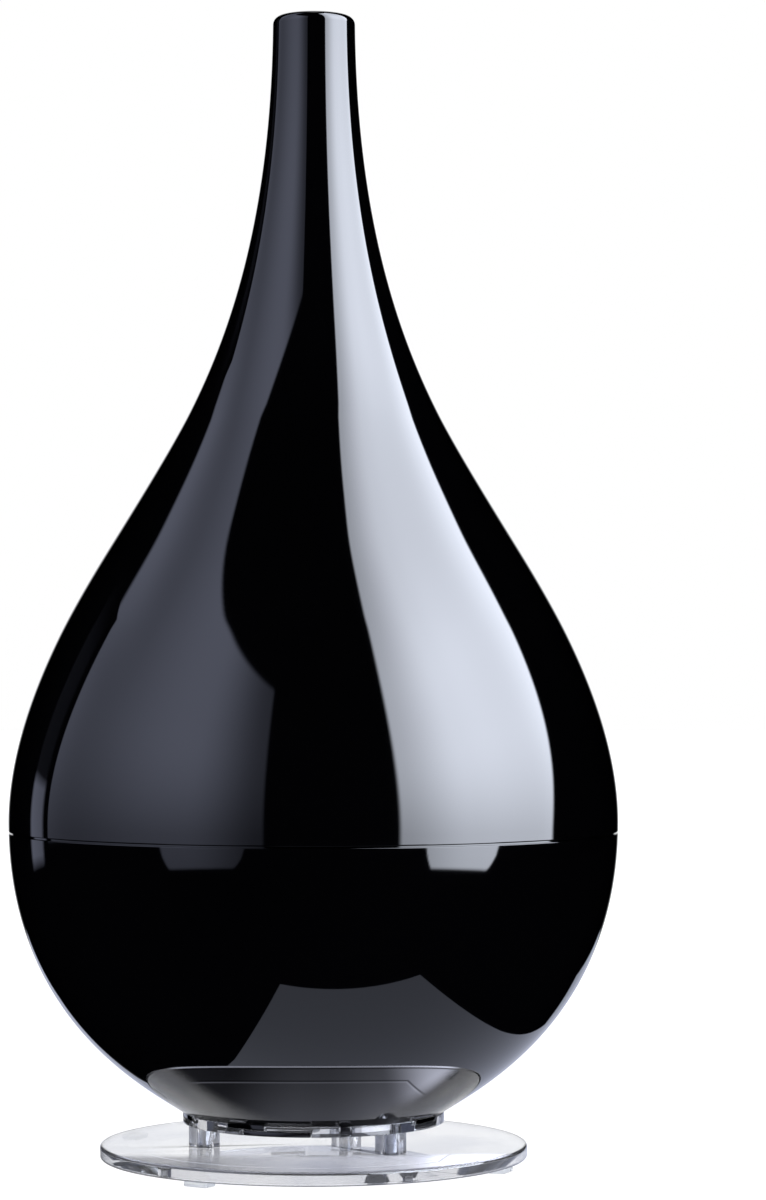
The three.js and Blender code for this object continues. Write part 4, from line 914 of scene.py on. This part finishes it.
bowl_outline = ([(BOWL_MOUTH, bowl_low)] + bowl_skin + rim
                + [(step_out, bowl_top), (step_out, step_up),
                   (rim_inner, step_up), (ledge_radius, ledge_top),
                   (ledge_radius - LEDGE, ledge_top), (ledge_radius - LEDGE, ledge_top - LEDGE)]
                + lining[::-1] + [(BOWL_MOUTH, bowl_floor)])


def outline_normals(points):
    """The outward direction at each point of the skin, as [height, across, up]."""
    rows = []
    for i, (radius, height) in enumerate(points):
        before, after = points[max(i - 1, 0)], points[min(i + 1, len(points) - 1)]
        along = Vector((after[0] - before[0], after[1] - before[1])).normalized()
        rows.append((height, radius, along.y, -along.x))
    return rows


def shade_like(thing, points, tolerance=0.08 * MM):
    """Gives the skin the outline's own normals and leaves every other face as it is."""
    rows = outline_normals(points)
    heights = [row[0] for row in rows]
    mesh = thing.data
    normals = [tuple(corner.vector) for corner in mesh.corner_normals]
    for face in mesh.polygons:
        for corner in face.loop_indices:
            spot = mesh.vertices[mesh.loops[corner].vertex_index].co
            distance = math.hypot(spot.x, spot.y)
            place = bisect.bisect_left(heights, spot.z)
            if not 0 < place < len(rows):
                continue
            low, high = rows[place - 1], rows[place]
            share = (spot.z - low[0]) / (high[0] - low[0])
            radius, across, up = (low[k] * (1 - share) + high[k] * share for k in (1, 2, 3))
            if abs(distance - radius) > tolerance:
                continue
            normal = Vector((spot.x / distance * across, spot.y / distance * across, up))
            normal.normalize()
            if normal.dot(face.normal) > 0.9:
                normals[corner] = tuple(normal)
    mesh.normals_split_custom_set(normals)


bowl_mesh = turned_mesh("drop_bowl", bowl_outline, SHELL_SIDES)
drop_bowl = link(bpy.data.objects.new("drop_bowl", bowl_mesh))
window = plate_block(PANEL_SIZE[0] + 2 * FIT, PANEL_SIZE[1] + 2 * FIT, PANEL_CORNER + FIT,
                     *WINDOW_DEPTHS)
carve(drop_bowl, [(window, on_panel())])
finish_piece(smooth(drop_bowl, 40, flat_faces=False), "base_bowl")
shade_like(drop_bowl, bowl_skin)
print("bowl", len(drop_bowl.data.polygons), "faces")

# %% [markdown]
# Seven lugs under the bowl drop into the clear ring and keep it from turning. They're moulded
# with the bowl. The infrared receiver's eye takes the place of the eighth.

# %% Lugs
LUG_TURNS = (-76, -31, 59, 104, 149, 194, 239)
LUG_SPAN = 18
LUG_DEPTH = 1.9 * MM
LUG_WIDTH = 4.2 * MM
LUG_SET_IN = 0.2 * MM
for index, turn in enumerate(LUG_TURNS):
    lug = arc_block(foot_radius - LUG_WIDTH, foot_radius - LUG_SET_IN, turn - LUG_SPAN / 2,
                    turn + LUG_SPAN / 2, bowl_low - LUG_DEPTH, bowl_low + BOWL_WALL / 2)
    thing = to_object(f"bowl_lug_{index + 1}", soften_edges(lug, 0.25 * MM))
    detail(smooth(thing), "base", "gloss_black")
print("lugs", len(LUG_TURNS))

# %% [markdown]
# ## The clear stand
#
# A thick clear disc, three clear posts with a screw in each, and a clear ring under the bowl.
# Clear parts show their edges most, so every edge is rounded by a real small arc.

# %% Disc, posts and ring
def disc_outline(node, edge):
    """The section of a flat disc whose rims are rounded."""
    low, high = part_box(node)
    radius = high.x
    return [(0, low.z)] + corner_arc((radius - edge, low.z + edge), edge, -90, 0) \
        + corner_arc((radius - edge, high.z - edge), edge, 0, 90) + [(0, high.z)]


POST_BORE = 2.3 * MM
DISC_EDGE = 1.3 * MM
SINK_RADII = (4.9 * MM, 2.4 * MM)
SINK_HEIGHTS = (-0.5 * MM, 2 * MM)
PAST = 1 * MM
LARGE_SIDES = 192
posts = numbered("stand_post", 3)
post_places = [ends(node)[0] for node in posts]
disc_low, disc_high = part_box("stand_disc")
clear_disc = turned("clear_disc", disc_outline("stand_disc", DISC_EDGE), "stand_disc",
                    sides=LARGE_SIDES, soften=0)
bored(clear_disc, POST_BORE, disc_low.z - PAST, disc_high.z + PAST, post_places)
bored(clear_disc, SINK_RADII[0], disc_low.z + SINK_HEIGHTS[0], disc_low.z + SINK_HEIGHTS[1],
      post_places, SINK_RADII[1])
smooth(clear_disc)
for node in posts:
    tube(node, POST_BORE)

ring_low, ring_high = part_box("stand_plate")
RING_MOUTH = 38.2 * MM
ring_outline = [(RING_MOUTH, ring_low.z)] \
    + corner_arc((foot_radius - EDGE, ring_low.z + EDGE), EDGE, -90, 0) \
    + corner_arc((foot_radius - EDGE, ring_high.z - EDGE), EDGE, 0, 90) + [(RING_MOUTH, ring_high.z)]
clear_ring = turned("clear_ring", ring_outline, "stand_plate", sides=LARGE_SIDES, soften=0)
STRIP_TURNS = (-32, -1)
EYE_TURN = 14
EYE_SIZE = (4.6 * MM, 3.2 * MM)
TURN_MARGIN = 0.3
pocket_inner = foot_radius - LUG_WIDTH - FIT
lug_reach = LUG_SPAN / 2 + TURN_MARGIN
pockets = [arc_block(pocket_inner, foot_radius + FIT, turn - lug_reach, turn + lug_reach,
                     bowl_low - LUG_DEPTH - FIT, ring_high.z + PAST) for turn in LUG_TURNS]
eye_half = math.degrees((EYE_SIZE[0] / 2 + FIT) / foot_radius)
pockets.append(arc_block(pocket_inner, foot_radius + PAST, EYE_TURN - eye_half,
                         EYE_TURN + eye_half, ring_high.z - EYE_SIZE[1] - FIT, ring_high.z + PAST))
strip_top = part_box("control_strip")[1].z
pockets.append(arc_block(pocket_inner, foot_radius + PAST, *STRIP_TURNS,
                         ring_low.z - PAST, strip_top + FIT))
pockets += [round_block(POST_BORE, ring_low.z - PAST, ring_high.z + PAST, place, 32)
            for place in post_places]
carve(clear_ring, [(pocket, Matrix()) for pocket in pockets])
smooth(clear_ring)
print("ring pockets", len(pockets))

# %% [markdown]
# A smoked strip in the ring's lower front edge carries the lights, and the smoked eye beside
# it lets the remote control's light through. Four soft clear pads keep the disc off the table.

# %% Strip, eye and pads
STRIP_WIDTH = 4 * MM
strip = arc_block(foot_radius - STRIP_WIDTH, foot_radius - LUG_SET_IN,
                  STRIP_TURNS[0] + TURN_MARGIN, STRIP_TURNS[1] - TURN_MARGIN, ring_low.z,
                  strip_top, 24)
finish_piece(smooth(to_object("light_strip", soften_edges(strip, 0.3 * MM))), "control_strip")
eye = arc_block(foot_radius - LUG_WIDTH, foot_radius, EYE_TURN - eye_half + TURN_MARGIN,
                EYE_TURN + eye_half - TURN_MARGIN, ring_high.z - EYE_SIZE[1], ring_high.z, 6)
finish_piece(smooth(to_object("receiver_eye", soften_edges(eye, 0.4 * MM))), "ir_lens")

PAD_SIZE = (11.6 * MM, 8 * MM)
PAD_CORNER = 1.4 * MM
for node in numbered("foot_pad", 4):
    centre = middle_of(node)
    turn = Matrix.Rotation(math.atan2(centre.x, -centre.y), 4, "Z")
    pad = soften_edges(plate_block(*PAD_SIZE, PAD_CORNER, 0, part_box(node)[1].z), 0.5 * MM, 3)
    place = Matrix.Translation((centre.x, centre.y, 0)) @ turn
    finish_piece(smooth(to_object("soft_" + node, pad, place)), node)
print("pads 4")

# %% [markdown]
# Screws are formed from wire: a stem, a domed head and a cross punched into it. The three
# long ones under the disc are sunk into it instead, and are driven by a hexagon. One maker
# draws them all, in the place that each packed screw's box gives.

# %% Screws
HEX_SOCKET = (1.6 * MM, 1.4 * MM)
HEAD_EDGE = 0.1 * MM


def domed_head(head, height):
    """The crown of a domed head, and the two slots of the cross in it."""
    crown = [(0, 0), (head * 0.55, head * 0.04), (head * 0.88, head * 0.25), (head, height)]
    arm = (head * 1.1, head * 0.24)
    return crown, [plate_block(*size, head * 0.08, -PAST, height * 0.6, 3)
                   for size in (arm, arm[::-1])]


def sunk_head(head, height):
    """The crown of a sunk head, and the hexagon in it."""
    crown = [(0, 0), (head - HEAD_EDGE, 0), (head, HEAD_EDGE)]
    return crown, [round_block(HEX_SOCKET[0], -PAST, HEX_SOCKET[1], sides=6)]


def screw(node, stem, head, head_height, draw_head=domed_head, head_down=True):
    """A screw in the place of a packed one."""
    place, _, low, high = ends(node)
    length = high - low
    crown, cutters = draw_head(head, head_height)
    outline = crown + [(stem, head_height), (stem, length - stem), (stem * 0.35, length),
                       (0, length)]
    name = "turned_" + node
    thing = link(bpy.data.objects.new(name, turned_mesh(name, outline, 32)))
    for cutter in cutters:
        carve(thing, [(cutter, Matrix())])
    turn = Matrix() if head_down else Matrix.Rotation(math.pi, 4, "X")
    thing.data.transform(Matrix.Translation((*place, low if head_down else high)) @ turn)
    return finish_piece(smooth(thing, 30), node)


for node in numbered("cover_screw", 3):
    screw(node, 1.4 * MM, 2.6 * MM, 1.6 * MM)
for node in numbered("basin_screw", 3):
    screw(node, 1.3 * MM, 2.6 * MM, 1.5 * MM, head_down=False)
for node in numbered("stand_screw", 3):
    screw(node, 2 * MM, 3.9 * MM, 2 * MM, sunk_head)
print("nine screws")

# %% [markdown]
# ## The rear panel
#
# A satin plate with two round holes: the power inlet with its pin, and a button with a dished
# top that a finger finds without looking.

# %% Panel, inlet and button
INLET_RADIUS = 5 * MM
INLET_BORE = 3.2 * MM
INLET_DEPTH = 9 * MM
INLET_PIN = (1 * MM, -1.2 * MM)
BUTTON_RADIUS = 5.2 * MM
BUTTON_STAND = 1.2 * MM
BUTTON_DISH = ((3.6 * MM, BUTTON_STAND), (2.4 * MM, 0.95 * MM), (0, 0.85 * MM))
BUTTON_FLANGE = (6.6 * MM, 1.3 * MM)
BUTTON_STEM = (2 * MM, 2.2 * MM)
plate = soften_edges(plate_block(*PANEL_SIZE, PANEL_CORNER, -PANEL_THICKNESS, 0), 0.5 * MM, 3)
panel = to_object("rear_plate", plate)
carve(panel, [(round_block(radius + FIT, -PANEL_THICKNESS - PAST, PAST, (x, 0)), Matrix())
              for x, radius in ((jack_x, INLET_RADIUS), (button_x, BUTTON_RADIUS))])
panel.data.transform(on_panel())
finish_piece(smooth(panel), "rear_panel")

pin_radius, pin_top = INLET_PIN
inlet_outline = [(0, -JACK_LENGTH), (INLET_RADIUS, -JACK_LENGTH), (INLET_RADIUS, JACK_STAND),
                 (INLET_BORE, JACK_STAND), (INLET_BORE, -INLET_DEPTH), (pin_radius, -INLET_DEPTH),
                 INLET_PIN, (0, pin_top)]
turned("power_inlet", inlet_outline, "dc_jack", sides=48, place=on_panel(jack_x))
flange_top = -PANEL_THICKNESS - FIT
flange_low = flange_top - BUTTON_FLANGE[1]
stem_low = flange_low - BUTTON_STEM[1]
button_outline = [(0, stem_low), (BUTTON_STEM[0], stem_low), (BUTTON_STEM[0], flange_low),
                  (BUTTON_FLANGE[0], flange_low), (BUTTON_FLANGE[0], flange_top),
                  (BUTTON_RADIUS, flange_top), (BUTTON_RADIUS, BUTTON_STAND), *BUTTON_DISH]
turned("round_button", button_outline, "power_button", sides=64, soften=0.5 * MM,
       place=on_panel(button_x))
print("panel, inlet and button")

# %% [markdown]
# ## The water basin
#
# Lifting the tank shows the basin: a satin cup with a stepped floor over the mist disc, the
# air tower, the pin that opens the tank's valve, and the post that the float rides on.

# %% Basin
WALL = 2.4 * MM
BASIN_DEPTH = 40.6 * MM
BASIN_RIM_WIDTH = 13.5 * MM
BASIN_FLARE = 11.5 * MM
WELL_RADIUS = 30 * MM
WELL_DEPTH = 10 * MM
MIST_HOLE = 8.5 * MM
TOWER_BORE = 12 * MM
TOWER_TOP = 132 * MM
TOWER_PLACE = (0, 62 * MM)
DETAIL_EDGE = 0.6 * MM
basin_low, basin_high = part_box("water_basin")
basin_rim = basin_high.x
basin_floor = basin_high.z - BASIN_DEPTH
well_floor = basin_floor - WELL_DEPTH
basin_mouth = basin_rim - BASIN_RIM_WIDTH
basin_outline = [(MIST_HOLE, well_floor - WALL), (WELL_RADIUS, well_floor - WALL),
                 (WELL_RADIUS + WALL, basin_floor - WALL),
                 (basin_mouth - BASIN_FLARE, basin_floor - WALL),
                 (basin_mouth, basin_high.z - WALL), (basin_rim, basin_high.z - WALL),
                 (basin_rim, basin_high.z), (basin_mouth - WALL, basin_high.z),
                 (basin_mouth - WALL - BASIN_FLARE, basin_floor), (WELL_RADIUS, basin_floor),
                 (WELL_RADIUS - WALL, well_floor), (MIST_HOLE, well_floor)]
basin = turned("basin_cup", basin_outline, "water_basin", sides=LARGE_SIDES, soften=1.2 * MM)
tower_hole = round_block(TOWER_BORE, basin_low.z, basin_floor + 9 * MM, TOWER_PLACE)
carve(basin, [(tower_hole, Matrix())])
smooth(basin)


def standing(name, outline, place, body="base"):
    """A turned satin detail, moulded in one with the piece that it stands on."""
    mesh = turned_mesh(name, rounded(outline, DETAIL_EDGE), 64)
    mesh.transform(Matrix.Translation((*place, 0)))
    return detail(smooth(link(bpy.data.objects.new(name, mesh))), body, "satin_black")


def pipe_outline(bore, outer, low, high):
    """A straight pipe's section, or a post's where the bore is nothing."""
    return [(bore, low), (outer, low), (outer, high), (bore, high)]


PIN_RADIUS = 3 * MM
FLOAT_POST_RADIUS = 3.4 * MM
FLOAT_POST_OVER = 15 * MM
FLOAT_BORE = 4.2 * MM
FLOAT_RADIUS = 12 * MM
cap_place = ends("tank_cap")[0]
valve_low, valve_high = ends("valve_plunger")[2:]
float_place, _, float_low, float_high = ends("level_float")
standing("air_tower", pipe_outline(TOWER_BORE, TOWER_BORE + WALL, basin_floor - WALL, TOWER_TOP),
         TOWER_PLACE)
standing("valve_pin", pipe_outline(0, PIN_RADIUS, basin_floor - PAST, valve_low - FIT), cap_place)
standing("float_post", pipe_outline(0, FLOAT_POST_RADIUS, basin_floor - PAST,
                                    float_high + FLOAT_POST_OVER), float_place)
turned("white_float", pipe_outline(FLOAT_BORE, FLOAT_RADIUS, float_low, float_high),
       "level_float", sides=64, soften=1.6 * MM, place=float_place)
tube("float_clip", 3.6 * MM)
tube("transducer_gasket", MIST_HOLE)
print("basin", len(basin.data.polygons), "faces")

# %% [markdown]
# ## Inside the tank
#
# The tank's floor is a satin disc with the filler's neck and the chimney's socket. A ribbed
# grey cap closes the neck, and a sprung valve in the cap lets the water out.

# %% Tank floor, chimney and nozzle
FLOOR_HEIGHTS = (146.8 * MM, 149.6 * MM)
SOCKET_WALL = 2.6 * MM
SOCKET_BELOW = 7 * MM
SOCKET_ABOVE = 12 * MM
FILLER_BORE = 17 * MM
FILLER_WALL = 3 * MM
CHIMNEY_BORE = 9.8 * MM
SEAL_SQUEEZE = 0.2 * MM
SEAL_WIDTH = 3.4 * MM
NOZZLE_BORE = 9.6 * MM
NOZZLE_WALL = 1.2 * MM
NOZZLE_CROWN = 7 * MM
floor_low, floor_high = FLOOR_HEIGHTS
plate_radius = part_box("tank_floor")[1].x
chimney_outer = ends("mist_chimney")[1]
socket_bore = chimney_outer + FIT
socket_outer = socket_bore + SOCKET_WALL
floor_outline = [(socket_bore, floor_low - SOCKET_BELOW), (socket_outer, floor_low - SOCKET_BELOW),
                 (socket_outer, floor_low), (plate_radius, floor_low), (plate_radius, floor_high),
                 (socket_outer, floor_high), (socket_outer, floor_high + SOCKET_ABOVE),
                 (socket_bore, floor_high + SOCKET_ABOVE)]
tank_floor = turned("floor_disc", floor_outline, "tank_floor", sides=LARGE_SIDES, soften=0.6 * MM)
filler_hole = round_block(FILLER_BORE, floor_low - PAST, floor_high + PAST, cap_place)
carve(tank_floor, [(filler_hole, Matrix())])
smooth(tank_floor)
neck_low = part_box("tank_floor")[0].z
standing("filler_neck", pipe_outline(FILLER_BORE, FILLER_BORE + FILLER_WALL, neck_low,
                                     floor_low + PAST), cap_place, "tank")
tube("mist_chimney", CHIMNEY_BORE)
tube("chimney_seal", chimney_outer + SEAL_SQUEEZE, soften=0.6 * MM)
tube("tank_seal", ends("tank_seal")[1] - SEAL_WIDTH, sides=LARGE_SIDES, soften=0.8 * MM)

nozzle_radius, nozzle_low, nozzle_high = ends("mist_nozzle")[1:]
sleeve_bore = nozzle_radius - NOZZLE_WALL
crown_low = nozzle_high - NOZZLE_CROWN
nozzle_outline = [(NOZZLE_BORE, crown_low), (sleeve_bore, crown_low), (sleeve_bore, nozzle_low),
                  (nozzle_radius, nozzle_low), (nozzle_radius, nozzle_high),
                  (NOZZLE_BORE, nozzle_high)]
turned("mist_outlet", nozzle_outline, "mist_nozzle", sides=96, soften=0.6 * MM)
print("tank floor, chimney and nozzle")

# %% [markdown]
# The cap is a cup with eight ribs for wet fingers. Its ribs are rounded blocks set into the
# cup's wall, in the same mesh, because the real cap is one moulding.

# %% Cap and valve
CAP_RADIUS = 23.3 * MM
CAP_BORE = 20.3 * MM
CAP_PLATE = 2.6 * MM
CAP_RIBS = 8
RIB_SIZE = (2.4 * MM, 3 * MM)
VALVE_HOLE = 6.5 * MM
PLUNGER_STEM = 3.5 * MM
PLUNGER_PLATES = (9.3 * MM, 10 * MM)
PLUNGER_PLATE = 2 * MM
cap_low, cap_high = ends("tank_cap")[2:]
cup_outline = rounded([(VALVE_HOLE, cap_low), (CAP_RADIUS, cap_low), (CAP_RADIUS, cap_high),
                       (CAP_BORE, cap_high), (CAP_BORE, cap_low + CAP_PLATE),
                       (VALVE_HOLE, cap_low + CAP_PLATE)], 0.8 * MM)
cap_mesh = bmesh.new()
cap_mesh.from_mesh(turned_mesh("cap_cup", cup_outline, 96))
for k in range(CAP_RIBS):
    rib = soften_edges(plate_block(*RIB_SIZE, 0.8 * MM, cap_low + MM, cap_high - MM, 4), 0.4 * MM)
    data = bpy.data.meshes.new("rib")
    rib.to_mesh(data)
    rib.free()
    turn = Matrix.Rotation(2 * math.pi * k / CAP_RIBS, 4, "Z")
    data.transform(turn @ Matrix.Translation((CAP_RADIUS, 0, 0)))
    cap_mesh.from_mesh(data)
cap = to_object("ribbed_cap", cap_mesh, Matrix.Translation((*cap_place, 0)))
finish_piece(smooth(cap), "tank_cap")
tube("cap_seal", 17.4 * MM, soften=0.5 * MM)
tube("valve_seal", 3.7 * MM, soften=0.4 * MM)

low_plate, high_plate = PLUNGER_PLATES
stem_start, stem_end = valve_low + PLUNGER_PLATE, valve_high - PLUNGER_PLATE
plunger_outline = [(0, valve_low), (low_plate, valve_low), (low_plate, stem_start),
                   (PLUNGER_STEM, stem_start), (PLUNGER_STEM, stem_end), (high_plate, stem_end),
                   (high_plate, valve_high), (0, valve_high)]
turned("white_plunger", plunger_outline, "valve_plunger", sides=64, soften=0.4 * MM,
       place=cap_place)
print("cap and valve")

# %% [markdown]
# The spring is one steel wire wound in a helix. Its upper end stays with the cap and its lower end goes with the
# plunger; here it rides on neither and stays where the imported spring was.

# %% Spring
SPRING_TURNS = 4.5
SPRING_WIRE = 0.5 * MM
SPRING_RADIUS = 7.8 * MM


def helix_mesh(name, low, high, steps=180, sides=10):
    """A round wire wound about the cap's axis."""
    mesh = bmesh.new()
    rings = []
    for i in range(steps + 1):
        turn = 2 * math.pi * SPRING_TURNS * i / steps
        centre_z = low + SPRING_WIRE + (high - low - 2 * SPRING_WIRE) * i / steps
        ring = []
        for k in range(sides):
            round_angle = 2 * math.pi * k / sides
            reach = SPRING_RADIUS + SPRING_WIRE * math.cos(round_angle)
            ring.append(mesh.verts.new((cap_place[0] + reach * math.cos(turn),
                                        cap_place[1] + reach * math.sin(turn),
                                        centre_z + SPRING_WIRE * math.sin(round_angle))))
        rings.append(ring)
    for first, second in zip(rings, rings[1:]):
        for k in range(sides):
            n = (k + 1) % sides
            mesh.faces.new((first[k], first[n], second[n], second[k]))
    mesh.faces.new(rings[0])
    mesh.faces.new(rings[-1][::-1])
    bmesh.ops.recalc_face_normals(mesh, faces=mesh.faces)
    data = bpy.data.meshes.new(name)
    mesh.to_mesh(data)
    mesh.free()
    return data


spring_low, spring_high = ends("valve_spring")[2:]
spring_mesh = helix_mesh("wound_spring", spring_low, spring_high)
spring = link(bpy.data.objects.new("wound_spring", spring_mesh))
paint(spring, "screw_steel")
smooth(spring)
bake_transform(spring)
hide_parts("valve_spring")
print("spring", len(spring.data.polygons), "faces")

# %% [markdown]
# ## The end

# %% End
print("end of the script")
